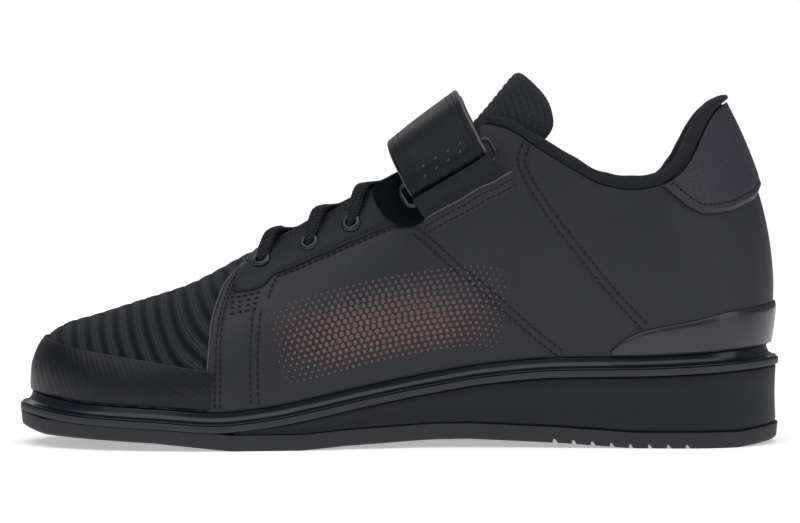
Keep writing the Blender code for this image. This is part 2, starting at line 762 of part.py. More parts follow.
def build_eyelets(upper, stays):
    barrel = EYELET_HOLE + EYELET_BARREL
    depth = OVERLAY_THICKNESS + OVERLAY_GAP + WALL
    profile = (
        (EYELET_HOLE, GAP + EYELET_FLANGE),
        (EYELET_RADIUS - 0.7 * EYELET_FLANGE, GAP + EYELET_FLANGE),
        (EYELET_RADIUS, GAP),
        (barrel, GAP),
        (barrel, -depth),
        (EYELET_HOLE, -depth),
    )
    mesh = bpy.data.meshes.new("eyelet")
    count = len(profile)
    edges = [(k, (k + 1) % count) for k in range(count)]
    mesh.from_pydata([(x * MM, 0, z * MM) for x, z in profile], edges, [])
    mesh.materials.append(EYELET)
    for side, word in ((MEDIAL, "medial"), (LATERAL, "lateral")):
        for index in range(len(EYELET_STATIONS)):
            seat, normal = eyelet_seat(side, index)
            eyelet = bpy.data.objects.new(f"eyelet_{word}_{index + 1}", mesh)
            eyelet.location = placed(seat).tolist()
            eyelet.rotation_euler = turn_to(normal)
            PIECES.objects.link(eyelet)
            turned = eyelet.modifiers.new("turned", "SCREW")
            turned.steps = 12
            turned.render_steps = 12
            turned.use_merge_vertices = True
            turned.merge_threshold = 0.00001

            hole = bpy.data.meshes.new(f"hole_{word}_{index + 1}")
            shape = bmesh.new()
            bmesh.ops.create_cone(shape, segments=12, radius1=(barrel + GAP) * MM,
                                  radius2=(barrel + GAP) * MM, depth=5 * depth * MM,
                                  cap_ends=True)
            shape.to_mesh(hole)
            shape.free()
            for target in (upper, stays[0] if side == MEDIAL else stays[1]):
                cutter = bpy.data.objects.new(f"hole_{target.name}_{word}_{index + 1}", hole)
                cutter.location = eyelet.location
                cutter.rotation_euler = eyelet.rotation_euler
                carve(target, [cutter])


LACE_CROWN = 4.9
LACE_STACK = 1.5
LACE_TUCK = 3.4
LACE_BULGE = 3.4
LACE_LEAN = 1.2
LACE_SINK = 0.4
LACE_ROOT = 1.0
LACE_RISE = 2.6


def lace_strand(side, index, lift):
    """Sections of one strand, from its eyelet over the tongue to the other edge."""
    seat, normal = eyelet_seat(side, index)
    u_low, u_high = EYELET_STATIONS[index:index + 2]
    edge, edge_normal = upper_surface(side, 0.75 * u_low + 0.25 * u_high, 1.0, QUARTER_STEP)
    over = edge + edge_normal * LACE_BULGE + np.array([0.0, -side, 1.0]) * LACE_LEAN
    far, _ = upper_surface(-side, u_high, 1.0, QUARTER_STEP)
    near, _ = upper_surface(side, u_low, 1.0, QUARTER_STEP)
    middle_x = (far[0] + near[0]) / 2
    x_line, z_line = tongue_centre(np.linspace(0, 1, 80))
    middle_z = np.interp(middle_x, x_line, z_line)
    middle = np.array([middle_x, 0.0, middle_z + lift])
    end = far + np.array([-2 * LACE_SINK, side * LACE_TUCK, -LACE_SINK])
    stops = np.array([seat - normal * LACE_ROOT, seat + normal * LACE_RISE, over, middle, end])
    up = np.array([[0.2, 0, 1.0], [0.2, 0, 1.0], edge_normal, [-0.5, 0, 0.86], [-0.5, 0, 0.86]])
    sizes = np.array([0.60, 0.66, 1.0, 1.0, 0.9])
    t = np.array([0.0, 0.14, 0.42, 0.74, 1.0])
    fine = np.linspace(0, 1, 10)
    path = np.stack([smooth(fine, t, stops[:, k]) for k in range(3)], axis=-1)
    ups = np.stack([np.interp(fine, t, up[:, k]) for k in range(3)], axis=-1)
    width = np.interp(fine, t, sizes) * LACE_WIDTH / 2
    along = np.gradient(path, axis=0)
    along = along / np.linalg.norm(along, axis=1, keepdims=True)
    across = np.cross(along, ups)
    across = across / np.linalg.norm(across, axis=1, keepdims=True)
    ups = np.cross(across, along)
    angle = np.linspace(0, 2 * np.pi, 8, endpoint=False)[None, :, None]
    return (path[:, None] + across[:, None] * np.cos(angle) * width[:, None, None]
            + ups[:, None] * np.sin(angle) * LACE_HEIGHT / 2)


def build_lace():
    for index in range(len(EYELET_STATIONS) - 1):
        top = closed_sweep(f"lace_crossing_{index + 1}",
                           lace_strand(MEDIAL, index, LACE_CROWN), LACE)
        under = closed_sweep(f"lace_strand_{index + 1}",
                             lace_strand(LATERAL, index, LACE_CROWN - LACE_STACK), LACE)
        PIECES.objects.unlink(under)
        CUTTERS.objects.link(under)
        under.hide_render = True
        under.display_type = "WIRE"
        join = top.modifiers.new("join", "BOOLEAN")
        join.operation = "UNION"
        join.solver = "EXACT"
        join.object = under


# Strap. Places are x as a share of the sole's length from the toe and height as a
# share of the heel height
STRAP_CREST = (0.5350, 0.950)
RING_MIDDLE = (0.5682, 0.786)
SLOT_MIDDLE = (0.5886, 0.726)
CREST_SLOPE = 37.6
RING_SLOPE = 29.5
STRAP_END = -0.42


def wall_point(side, place):
    """Nearest point of the leather's face to a place in side view, and its normal."""
    x = (place[0] - 0.5) * SOLE_LENGTH
    z = place[1] * HEEL_HEIGHT
    u, w = np.meshgrid(np.linspace(0.45, 0.65, 81), np.linspace(0.5, 1.0, 81))
    points, normals = upper_surface(side, u, w, QUARTER_STEP)
    miss = np.hypot(points[..., 0] - x, points[..., 2] - z)
    best = np.unravel_index(np.argmin(miss), miss.shape)
    return points[best], normals[best]


def side_frame(side, place, slope):
    """Point, outward normal, axis along the ring and direction down the wall."""
    point, normal = wall_point(side, place)
    along = np.array([np.cos(np.radians(slope)), 0.0, np.sin(np.radians(slope))])
    along = along - normal * np.dot(along, normal)
    along = along / np.linalg.norm(along)
    down = np.cross(along, normal) * -side
    return point, normal, along, down


def ribbon(name, centres, across, normals, width, thickness, finish):
    """A flat band: a rounded rectangle carried along its centres."""
    half, edge = width / 2, thickness / 2
    corner = 0.35 * thickness
    outline_points = ((-half, edge - corner), (-half + corner, edge), (half - corner, edge),
                      (half, edge - corner), (half, corner - edge), (half - corner, -edge),
                      (corner - half, -edge), (-half, corner - edge))
    sections = np.stack([centres + across * a + normals * n for a, n in outline_points], axis=1)
    return closed_sweep(name, sections, finish)


def bezier(points, t):
    t = np.asarray(t, float)[:, None]
    a, b, c, d = points
    return (1 - t) ** 3 * a + 3 * (1 - t) ** 2 * t * b + 3 * (1 - t) * t**2 * c + t**3 * d


def band_frame(centres, across):
    """Square the width direction to the path and give the band's outward normal."""
    along = np.gradient(centres, axis=0)
    along = along / np.linalg.norm(along, axis=1, keepdims=True)
    across = across - along * np.sum(across * along, axis=1, keepdims=True)
    across = across / np.linalg.norm(across, axis=1, keepdims=True)
    return across, np.cross(along, across)


def ring_bars():
    point, normal, along, down = side_frame(MEDIAL, RING_MIDDLE, RING_SLOPE)
    middle = point + normal * STRAP_CLEARANCE
    reach = (RING_HEIGHT - RING_WIRE) / 2
    return middle, normal, along, down, middle - down * reach, middle + down * reach


def strap_layer(q):
    """Middle of the strap's lower layer from the lateral slot (-1) to the ring (1)."""
    q = np.asarray(q, float)
    crest = np.array([(STRAP_CREST[0] - 0.5) * SOLE_LENGTH, 0.0, STRAP_CREST[1] * HEEL_HEIGHT])
    _, normal, along, down, upper_bar, _ = ring_bars()
    wrap = RING_WIRE / 2 + GAP + STRAP_THICKNESS / 2
    medial_end = upper_bar - normal * wrap
    medial = bezier((crest, crest + np.array([0.0, -CREST_REACH, 0.0]),
                     medial_end - down * RING_REACH, medial_end), np.clip(q, 0, 1))
    slot, slot_normal, slot_along, slot_down = side_frame(LATERAL, SLOT_MIDDLE, RING_SLOPE)
    lateral_end = slot + slot_normal * (STRAP_THICKNESS / 2 + 2 * GAP)
    lateral = bezier((crest, crest + np.array([0.0, CREST_REACH, 0.0]),
                      lateral_end - slot_down * SLOT_REACH + slot_normal * SLOT_LIFT, lateral_end),
                     np.clip(-q, 0, 1))
    centres = np.where(q[:, None] > 0, medial, lateral)
    slope = np.radians(CREST_SLOPE + (RING_SLOPE - CREST_SLOPE) * np.abs(q))
    across = np.stack([np.cos(slope), np.zeros_like(q), np.sin(slope)], axis=-1)
    across = np.where(q[:, None] > 0.999, along, across)
    return centres, across


def build_strap():
    middle, ring_normal, ring_along, ring_down, upper_bar, lower_bar = ring_bars()
    q = np.linspace(-1, 1, 19)
    centres, across = strap_layer(q)
    across, normals = band_frame(centres, across)
    wrap = RING_WIRE / 2 + GAP + STRAP_THICKNESS / 2
    turn = np.radians(np.linspace(0, 180, 9)[1:-1])[:, None]
    around = upper_bar + ring_down * FOLD_DROP * np.sin(turn)
    around = around - ring_normal * wrap * np.cos(turn)
    around_normals = ring_normal * np.cos(turn) - ring_down * np.sin(turn)
    around_across = np.broadcast_to(ring_along, around.shape)
    back = q[::-1] > STRAP_END
    spread = np.interp(q, [0.3, 1.0], [STRAP_THICKNESS + STRAP_LAYER_GAP, 2 * wrap])
    over = (centres + normals * spread[:, None])[::-1][back]
    path = np.concatenate([centres, around, over])
    widths = np.concatenate([across, around_across, across[::-1][back]])
    faces = np.concatenate([normals, around_normals, -normals[::-1][back]])
    ribbon("strap", path, widths, faces, STRAP_WIDTH, STRAP_THICKNESS, STRAP)

    loop = RING_WIRE / 2 + GAP + WEBBING_THICKNESS / 2
    slot, slot_normal, _, _ = side_frame(MEDIAL, SLOT_MIDDLE, RING_SLOPE)
    turn = np.radians(np.linspace(*WEBBING_TURN, 11))[:, None]
    around = lower_bar - loop * (ring_down * np.sin(turn) + ring_normal * np.cos(turn))
    inner_end = slot + slot_normal * (WEBBING_THICKNESS + 2 * GAP)
    inner_end = inner_end - ring_along * np.dot(inner_end - lower_bar, ring_along)
    outer_end = inner_end + ring_normal * (WEBBING_THICKNESS + GAP)
    inner = inner_end + (around[0] - inner_end) * np.linspace(0, 1, 4)[:-1, None]
    outer = around[-1] + (outer_end - around[-1]) * np.linspace(0, 1, 4)[1:, None]
    path = np.concatenate([inner, around, outer])
    widths, faces = band_frame(path, np.broadcast_to(ring_along, path.shape))
    ribbon("webbing", path, widths, faces, WEBBING_WIDTH, WEBBING_THICKNESS, WEBBING)

    half = np.array([RING_LENGTH - RING_WIRE, RING_HEIGHT - RING_WIRE]) / 2 - RING_CORNER
    corners = ((1, 1), (-1, 1), (-1, -1), (1, -1))
    wire = []
    for turn_number, (right, low) in enumerate(corners):
        for step in range(5):
            angle = np.pi / 2 * (turn_number + step / 4)
            wire.append(middle
                        + ring_along * (right * half[0] + RING_CORNER * np.cos(angle))
                        + ring_down * (low * half[1] + RING_CORNER * np.sin(angle)))
    curve = bpy.data.curves.new("ring", "CURVE")
    curve.dimensions = "3D"
    curve.bevel_depth = RING_WIRE / 2 * MM
    curve.bevel_resolution = 2
    spline = curve.splines.new("POLY")
    spline.points.add(len(wire) - 1)
    for point, place in zip(spline.points, wire):
        point.co = (*placed(place), 1.0)
    spline.use_cyclic_u = True
    curve.materials.append(METAL)
    PIECES.objects.link(bpy.data.objects.new("ring", curve))


# Felt pad under the ring: station u, lower edge as a share of the heel height, and
# its distance below the throat's edge as a share of the clear run below the eyelets
PAD_EDGE = (
    (0.478, 0.668, 1.00),
    (0.487, 0.648, 1.00),
    (0.496, 0.656, 1.00),
    (0.505, 0.722, 1.00),
    (0.520, 0.748, 0.70),
    (0.535, 0.780, 0.20),
    (0.565, 0.828, 0.20),
)


def build_pad():
    line = np.linspace(PAD_EDGE[0][0], PAD_EDGE[-1][0], 12)
    height = smooth(line, column(PAD_EDGE, 0), column(PAD_EDGE, 1)) * HEEL_HEIGHT
    low = at_height(MEDIAL, line, height)
    clear_run = EYELET_SETBACK + EYELET_RADIUS + 3 * GAP
    run = smooth(line, column(PAD_EDGE, 0), column(PAD_EDGE, 2)) * clear_run
    raised = QUARTER_STEP + 2 * OVERLAY_GAP + OVERLAY_THICKNESS
    grid = side_grid(MEDIAL, line, low, below_top(MEDIAL, line, run), 6, raised)
    pad = new_object("ring_pad", grid, grid_faces(6, len(line)), FELT)
    thicken(pad, PAD_THICKNESS, 1.0)


clear_scene()
PIECES = bpy.data.collections.new("weightlifting_shoe")
CUTTERS = bpy.data.collections.new("cutters")
bpy.context.scene.collection.children.link(PIECES)
bpy.context.scene.collection.children.link(CUTTERS)

RUBBER = make_finish("outsole_rubber", 0.030, 0.031, 0.034, 0.62)
RIM_RUBBER = make_finish("rim_rubber", 0.038, 0.040, 0.043, 0.50)
FOAM = make_finish("wedge_plastic", 0.024, 0.025, 0.029, 0.45)
GLOSS = make_finish("glossy_ledge", 0.010, 0.013, 0.018, 0.12)
LINING = make_finish("lining", 0.012, 0.012, 0.013, 0.85)
LEATHER = make_finish("leather", 0.032, 0.033, 0.037, 0.45)
CAP = make_finish("toe_cap_film", 0.020, 0.021, 0.025, 0.42)
COUNTER = make_finish("counter_plastic", 0.034, 0.035, 0.039, 0.25)
TAB = make_finish("heel_tab_leather", 0.025, 0.025, 0.034, 0.48)
KNIT = make_finish("knit", 0.018, 0.020, 0.023, 0.80)
EYELET = make_finish("eyelet_plastic", 0.016, 0.018, 0.022, 0.30)
LACE = make_finish("lace_braid", 0.010, 0.012, 0.014, 0.75)
STRAP = make_finish("strap_leather", 0.016, 0.018, 0.023, 0.42)
WEBBING = make_finish("webbing", 0.016, 0.018, 0.024, 0.70)
METAL = make_finish("ring_metal", 0.080, 0.085, 0.095, 0.22, 1.0)
FELT = make_finish("felt", 0.004, 0.006, 0.008, 0.95)

build_sole()
UPPER, EYESTAYS = build_upper()
build_cuff()
build_tongue()
build_eyelets(UPPER, EYESTAYS)
build_lace()
build_strap()
build_pad()
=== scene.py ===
# %% [markdown]
# # A weightlifting shoe
#
# This lesson dresses a finished solid model of a lifting shoe. The solids fix every size and
# place. Each visible surface is then worked out again from the same curves, only much finer, so
# that knit ribs, leather, stitches and moulded rubber can be shown.

import bmesh
import bpy
import numpy as np
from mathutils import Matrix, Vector


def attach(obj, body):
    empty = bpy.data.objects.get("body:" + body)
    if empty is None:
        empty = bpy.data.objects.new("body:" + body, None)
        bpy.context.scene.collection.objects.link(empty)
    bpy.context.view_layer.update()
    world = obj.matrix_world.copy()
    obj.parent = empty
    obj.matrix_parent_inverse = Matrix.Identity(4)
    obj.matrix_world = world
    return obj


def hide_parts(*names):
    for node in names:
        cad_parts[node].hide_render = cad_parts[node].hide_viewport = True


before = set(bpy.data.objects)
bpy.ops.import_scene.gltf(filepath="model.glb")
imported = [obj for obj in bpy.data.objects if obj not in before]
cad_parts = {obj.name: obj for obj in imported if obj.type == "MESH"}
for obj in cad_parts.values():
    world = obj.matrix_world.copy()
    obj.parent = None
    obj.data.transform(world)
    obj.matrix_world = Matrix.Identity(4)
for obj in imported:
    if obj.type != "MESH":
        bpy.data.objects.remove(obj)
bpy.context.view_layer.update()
print("nodes:", len(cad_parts))

# %% [markdown]
# ## One shoe, two parameters
#
# A shoe has no flat faces to build on. Here every place on it has two numbers: the station u,
# from the toe tip (0) to the heel tip (1), and w, from the line where the upper meets the sole
# (0) up to its top edge (1). The sizes below are the solid model's, in millimetres, and the
# tables hold shares of them, so both models stay in step.

# %% Sizes
MM = 0.001
GAP = 0.3
INNER, OUTER = -1.0, 1.0
SIDES = (INNER, OUTER)
SIDE_WORDS = ((INNER, "medial"), (OUTER, "lateral"))
SOLE_LENGTH = 298.0
BALL_WIDTH = 106.0
WAIST_WIDTH = 74.0
HEEL_WIDTH = 75.0
HEEL_HEIGHT = 132.0
ANKLE_WIDTH = 66.0
TOE_ROUND = 50.0
HEEL_ROUND = 38.0
RIM_LOW = 9.5
TOE_RISE = 6.5
HEEL_RISE = 24.2
TOE_SPRING = 7.5
ARCH_RISE = 3.3
HEEL_SPRING = 2.0
LEDGE_REACH = 5.0
LEDGE_RISE = 5.0
RUBBER_THICK = 6.0
RIM_THICK = 2.7
QUARTER_STEP = 1.0
QUARTER_EDGE = 0.33
OUTER_DROP = 3.0
print("sole length and width:", SOLE_LENGTH, BALL_WIDTH)

# %% Tables of shares
OUTLINE = np.array([
    (0.000, -0.040, 0.385 * BALL_WIDTH),
    (0.120, -0.020, 0.425 * BALL_WIDTH),
    (0.265, 0.019, 0.490 * BALL_WIDTH),
    (0.360, 0.042, 0.482 * BALL_WIDTH),
    (0.460, 0.055, 0.420 * BALL_WIDTH),
    (0.560, 0.055, 0.512 * WAIST_WIDTH),
    (0.640, 0.042, 0.500 * WAIST_WIDTH),
    (0.740, 0.020, 0.492 * HEEL_WIDTH),
    (0.860, 0.005, 0.500 * HEEL_WIDTH),
    (1.000, 0.000, 0.490 * HEEL_WIDTH),
])
RIM_LINE = np.array([
    (0.000, 1.000 * TOE_RISE),
    (0.082, 0.480 * TOE_RISE),
    (0.198, 0.180 * TOE_RISE),
    (0.265, 0.000 * TOE_RISE),
    (0.322, 0.062 * HEEL_RISE),
    (0.394, 0.223 * HEEL_RISE),
    (0.466, 0.413 * HEEL_RISE),
    (0.540, 0.583 * HEEL_RISE),
    (0.614, 0.736 * HEEL_RISE),
    (0.705, 0.835 * HEEL_RISE),
    (0.815, 0.860 * HEEL_RISE),
    (0.906, 0.917 * HEEL_RISE),
    (1.000, 1.000 * HEEL_RISE),
])
GROUND_LINE = np.array([
    (0.000, 1.000 * TOE_SPRING),
    (0.037, 0.667 * TOE_SPRING),
    (0.122, 0.520 * TOE_SPRING),
    (0.185, 0.400 * TOE_SPRING),
    (0.235, 0.210 * TOE_SPRING),
    (0.285, 0.000 * TOE_SPRING),
    (0.375, 0.000 * ARCH_RISE),
    (0.433, 0.420 * ARCH_RISE),
    (0.539, 0.940 * ARCH_RISE),
    (0.590, 1.000 * ARCH_RISE),
    (0.705, 0.580 * ARCH_RISE),
    (0.800, 0.000 * ARCH_RISE),
    (0.940, 0.000 * HEEL_SPRING),
    (1.000, 1.000 * HEEL_SPRING),
])
TOP_LINE = np.array([
    (0.000, 0.0155, 0.000, 0.174, -0.040),
    (0.060, 0.0171, 0.000, 0.227, -0.040),
    (0.110, 0.0235, 0.000, 0.273, -0.038),
    (0.150, 0.0346, 0.000, 0.313, -0.036),
    (0.190, 0.0604, 0.000, 0.352, -0.030),
    (0.225, 0.1007, 0.000, 0.379, -0.022),
    (0.260, 0.1577, 0.000, 0.420, -0.012),
    (0.295, 0.2215, 0.000, 0.467, -0.004),
    (0.330, 0.2987, 0.000, 0.558, 0.000),
    (0.345, 0.3070, 0.098, 0.566, 0.000),
    (0.365, 0.3289, 0.159, 0.588, 0.000),
    (0.390, 0.3591, 0.194, 0.621, 0.000),
    (0.420, 0.4010, 0.220, 0.668, 0.000),
    (0.460, 0.4631, 0.258, 0.745, 0.000),
    (0.500, 0.5268, 0.288, 0.826, 0.000),
    (0.540, 0.5856, 0.326, 0.906, 0.000),
    (0.565, 0.6141, 0.348, 0.941, 0.000),
    (0.590, 0.6393, 0.376, 0.928, 0.000),
    (0.620, 0.6745, 0.424, 0.879, 0.000),
    (0.660, 0.7215, 0.470, 0.814, 0.000),
    (0.700, 0.7617, 0.492, 0.767, 0.000),
    (0.740, 0.7987, 0.500, 0.753, 0.000),
    (0.780, 0.8322, 0.492, 0.764, 0.000),
    (0.820, 0.8557, 0.455, 0.795, 0.000),
    (0.860, 0.8725, 0.386, 0.845, 0.000),
    (0.900, 0.8859, 0.295, 0.902, 0.000),
    (0.940, 0.8993, 0.197, 0.955, 0.000),
    (0.970, 0.9128, 0.103, 0.991, 0.000),
    (1.000, 0.9211, 0.000, 1.004, 0.000),
])
RIB_BEND = np.array([
    (0.00, 5.0, 0.0, 0.40, 0.00),
    (0.06, 6.0, 0.0, 0.40, 0.36),
    (0.15, 8.0, 0.0, 0.42, 0.50),
    (0.26, 10.0, 2.0, 0.38, 0.42),
    (0.33, 10.0, 10.0, 0.38, 0.32),
    (0.39, 10.0, 38.0, 0.35, 0.26),
    (0.46, 9.0, 50.0, 0.34, 0.26),
    (0.54, 8.0, 62.0, 0.33, 0.26),
    (0.60, 8.0, 74.0, 0.33, 0.28),
    (0.70, 8.0, 86.0, 0.33, 0.30),
    (0.80, 8.0, 86.0, 0.33, 0.30),
    (0.90, 12.0, 76.0, 0.33, 0.33),
    (1.00, 18.0, 66.0, 0.33, 0.33),
])
print("table rows:", len(OUTLINE), len(RIM_LINE), len(GROUND_LINE), len(TOP_LINE), len(RIB_BEND))


# %% Curves through the tables
def smooth(x, xs, ys):
    """Cubic pieces through the rows. The slope at each row is the harmonic mean of the
    slopes on both sides, or zero where they disagree, so the curve never overshoots."""
    x, xs, ys = (np.asarray(values, float) for values in (x, xs, ys))
    steps = np.diff(xs)
    secants = np.diff(ys) / steps
    slopes = np.zeros_like(ys)
    product = secants[:-1] * secants[1:]
    total = secants[:-1] + secants[1:]
    rising = product > 0
    slopes[1:-1][rising] = 2 * product[rising] / total[rising]
    slopes[0], slopes[-1] = secants[0], secants[-1]
    k = np.clip(np.searchsorted(xs, x, side="right") - 1, 0, len(steps) - 1)
    t = np.clip((x - xs[k]) / steps[k], 0.0, 1.0)
    return ((2 * t**3 - 3 * t**2 + 1) * ys[k] + (t**3 - 2 * t**2 + t) * steps[k] * slopes[k]
            + (3 * t**2 - 2 * t**3) * ys[k + 1] + (t**3 - t**2) * steps[k] * slopes[k + 1])


def along_table(x, table, index):
    return smooth(x, table[:, 0], table[:, index])


def each_column(curve, at, run, table):
    """Every column of a table through the same curve, which is smooth or np.interp."""
    return np.stack([curve(at, run, column) for column in np.asarray(table).T], axis=-1)


def unit(vectors):
    return vectors / np.linalg.norm(vectors, axis=-1, keepdims=True)


def share_of(u):
    """Share of the length: (1 - cos(pi u)) / 2, so stations crowd at both round ends."""
    return (1 - np.cos(np.pi * np.asarray(u, float))) / 2


def station_of(share):
    return np.arccos(1 - 2 * np.asarray(share, float)) / np.pi


def rim_top(u):
    return RIM_LOW + along_table(share_of(u), RIM_LINE, 1)


def underside(u):
    return np.interp(share_of(u), GROUND_LINE[:, 0], GROUND_LINE[:, 1])


print("rim over the floor at toe, ball and heel:", np.round(rim_top(np.array([0, 0.35, 1])), 1))


# %% The sole's outline
def outline(side, u):
    """Centre line plus or minus a half width, which is an ellipse at the toe and heel."""
    u = np.asarray(u, float)
    side = np.where((u < 0) | (u > 1), -side, side)
    share = share_of(u)
    x = (share - 0.5) * SOLE_LENGTH
    centre = along_table(share, OUTLINE, 1) * BALL_WIDTH
    half = along_table(share, OUTLINE, 2)
    toe = np.clip(1 - share * SOLE_LENGTH / TOE_ROUND, 0, 1)
    heel = np.clip(1 - (1 - share) * SOLE_LENGTH / HEEL_ROUND, 0, 1)
    half = half * np.sqrt(1 - toe**2) * np.sqrt(1 - heel**2)
    return np.stack([x, centre + side * half], axis=-1)


def outward(side, u):
    """Unit normal of the outline in plan: its tangent turned by a quarter."""
    step = 0.004
    along = outline(side, u + step) - outline(side, u - step)
    along = unit(along)
    return np.stack([-along[..., 1] * side, along[..., 0] * side], axis=-1)


edge_y = np.stack([outline(side, np.linspace(0, 1, 401))[:, 1] for side in SIDES])
MIDDLE_Y = (edge_y.min() + edge_y.max()) / 2
print("the shoe's box is centred by moving it", round(-MIDDLE_Y, 2), "mm sideways")


# %% The upper's surface
def rib_ends(side, u):
    """Lower end of a rib on the ledge, and its upper end on the top line."""
    foot_xy = outline(side, u) - outward(side, u) * LEDGE_REACH
    foot_z = rim_top(u) + LEDGE_RISE + GAP
    foot = np.concatenate([foot_xy, foot_z[..., None]], axis=-1)
    x = (along_table(u, TOP_LINE, 1) - 0.5) * SOLE_LENGTH
    half = along_table(u, TOP_LINE, 2) * ANKLE_WIDTH
    z = along_table(u, TOP_LINE, 3) * HEEL_HEIGHT
    centre = along_table(u, TOP_LINE, 4) * BALL_WIDTH
    if side == OUTER:
        z = z - OUTER_DROP * np.sin(np.pi * np.clip((u - 0.56) / 0.44, 0, 1)) ** 2
    return foot, np.stack([x, centre + side * half, z], axis=-1)


def rib_point(side, u, w):
    """A cubic curve from foot to top that leaves the sole steeply and dips in at the top."""
    foot, top = rib_ends(side, u)
    lean, dip = (np.radians(along_table(u, RIB_BEND, index)) for index in (1, 2))
    low, high = (along_table(u, RIB_BEND, index) for index in (3, 4))
    chord = np.linalg.norm(top - foot, axis=-1)
    away = outward(side, u)
    turn = np.clip((u - 0.68) / 0.27, 0, 1)[..., None]
    level = turn * away + (1 - turn) * np.array([0.0, side])
    level = unit(level)
    sweep = (top - foot) * np.array([0.15, 0.0, 0.0])
    up = np.concatenate([away * np.sin(lean)[..., None], np.cos(lean)[..., None]], axis=-1)
    down = np.concatenate([level * np.cos(dip)[..., None], -np.sin(dip)[..., None]], axis=-1)
    near_foot = foot + up * (low * chord)[..., None] + sweep
    near_top = top + down * (high * chord)[..., None] - sweep
    t = w[..., None]
    return ((1 - t) ** 3 * foot + 3 * (1 - t) ** 2 * t * near_foot
            + 3 * (1 - t) * t**2 * near_top + t**3 * top)


def upper_surface(side, u, w, raised=0.0):
    """The rib's point moved by raised along the surface normal. The normal is the cross
    product of the two small steps, along the shoe and up the rib."""
    u, w, raised = np.broadcast_arrays(np.asarray(u, float), w, raised)
    step = 0.002
    before = np.clip(u - step, 0.001, 0.999 - step)
    along = rib_point(side, before + 2 * step, w) - rib_point(side, before, w)
    above = np.clip(w + step, 2 * step, 1.0)
    rising = rib_point(side, u, above) - rib_point(side, u, above - 2 * step)
    normal = np.cross(along, rising) * -side
    flat = np.array([1.0, 0.0, 1.0])
    on_ridge = (w > 1 - 1e-6) & (u < QUARTER_EDGE + 1e-6)
    ridge = np.cross(flat * along, [0.0, 1.0, 0.0])
    chord = rib_point(side, u, np.ones_like(w)) - rib_point(side, u, np.zeros_like(w))
    rising = np.where((u < 1e-6)[..., None], chord, rising)
    tip = np.cross(flat * rising, [0.0, 1.0, 0.0]) * np.where(u < 0.5, 1.0, -1.0)[..., None]
    normal = np.where(on_ridge[..., None], ridge, normal)
    normal = np.where(((u < 1e-6) | (u > 1 - 1e-6))[..., None], tip, normal)
    normal = unit(normal)
    return rib_point(side, u, w) + normal * raised[..., None], normal


def at_height(side, stations, height):
    """w where each rib passes a height, read back from sixty points on the rib."""
    w = np.linspace(0.0, 1.0, 60)
    points, _ = upper_surface(side, np.asarray(stations)[:, None], w[None, :])
    return np.array([np.interp(h, z, w) for h, z in zip(height, points[..., 2])])


def below_top(side, stations, distance):
    """w at a distance below the top edge, measured along the rib."""
    w = np.linspace(0.0, 1.0, 60)
    points, _ = upper_surface(side, np.asarray(stations)[:, None], w[None, :])
    steps = np.linalg.norm(np.diff(points, axis=1), axis=-1)
    left = np.cumsum(steps[:, ::-1], axis=1)[:, ::-1]
    left = np.concatenate([left, np.zeros((len(left), 1))], axis=1)
    distance = np.broadcast_to(distance, (len(left),))
    return np.array([np.interp(-d, -line, w) for d, line in zip(distance, left)])


top_of_heel, _ = upper_surface(INNER, np.array([1.0]), 1.0)
print("top of the heel, mm:", np.round(top_of_heel[0], 1))

# %% [markdown]
# ## From arrays to pieces
#
# A grid of points becomes a sheet of four-sided faces, and a row of closed sections becomes a
# skin. Both keep a UV map in centimetres of surface, so a weave or a rib can follow the cloth
# wherever it bends. A painted-on texture would slide over such curves.


# %% Meshes
def place(points):
    """Millimetres of the shoe to metres of the frame."""
    return (np.asarray(points, float) - np.array([0.0, MIDDLE_Y, 0.0])) * MM


def piece_from(name, points, quads, finish, uv=None, weld=False, closed=False):
    """A smooth mesh on the root body. The UV of each corner is its vertex's pair. Weld merges
    points that meet, and a closed shape then has its faces turned outwards."""
    points = np.asarray(points, float).reshape(-1, 3)
    quads = np.asarray(quads, int).reshape(-1, 4)
    mesh = bpy.data.meshes.new(name)
    mesh.from_pydata(place(points).tolist(), [], quads.tolist())
    if uv is not None:
        layer = mesh.uv_layers.new(name="UVMap")
        layer.data.foreach_set("uv", np.asarray(uv, float).reshape(-1, 2)[quads.ravel()].ravel())
    if weld or closed:
        shape = bmesh.new()
        shape.from_mesh(mesh)
        if weld:
            bmesh.ops.remove_doubles(shape, verts=shape.verts, dist=0.00002)
            bmesh.ops.dissolve_degenerate(shape, edges=shape.edges, dist=0.00001)
        if closed:
            bmesh.ops.recalc_face_normals(shape, faces=shape.faces)
        shape.to_mesh(mesh)
        shape.free()
    mesh.shade_smooth()
    mesh.materials.append(finish.material)
    piece = bpy.data.objects.new(name, mesh)
    bpy.context.scene.collection.objects.link(piece)
    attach(piece, "root")
    print(name, len(mesh.vertices), "points")
    return piece


def grid_quads(rows, columns, first=0, turned=False, wrap_rows=False, wrap_columns=False):
    """Faces between neighbouring rows and columns of a grid of points."""
    r = np.arange(rows if wrap_rows else rows - 1)[:, None]
    c = np.arange(columns if wrap_columns else columns - 1)[None, :]
    r_next, c_next = (r + 1) % rows, (c + 1) % columns
    corners = [r * columns + c, r * columns + c_next, r_next * columns + c_next,
               r_next * columns + c]
    quads = np.stack(np.broadcast_arrays(*corners), axis=-1).reshape(-1, 4) + first
    return quads[:, ::-1] if turned else quads


def sweep_quads(sections, around, first=0, turned=False):
    """A skin round a row of closed sections, with a fan of quads over each end."""
    skin = grid_quads(sections, around, first, turned, wrap_columns=True)
    half = around // 2
    k = np.arange(half - 1)
    cap = np.stack([k, k + 1, around - 2 - k, around - 1 - k], axis=-1)
    start = cap[:, ::-1] if not turned else cap
    end = (cap if not turned else cap[:, ::-1]) + (sections - 1) * around
    return np.concatenate([skin, start + first, end + first])


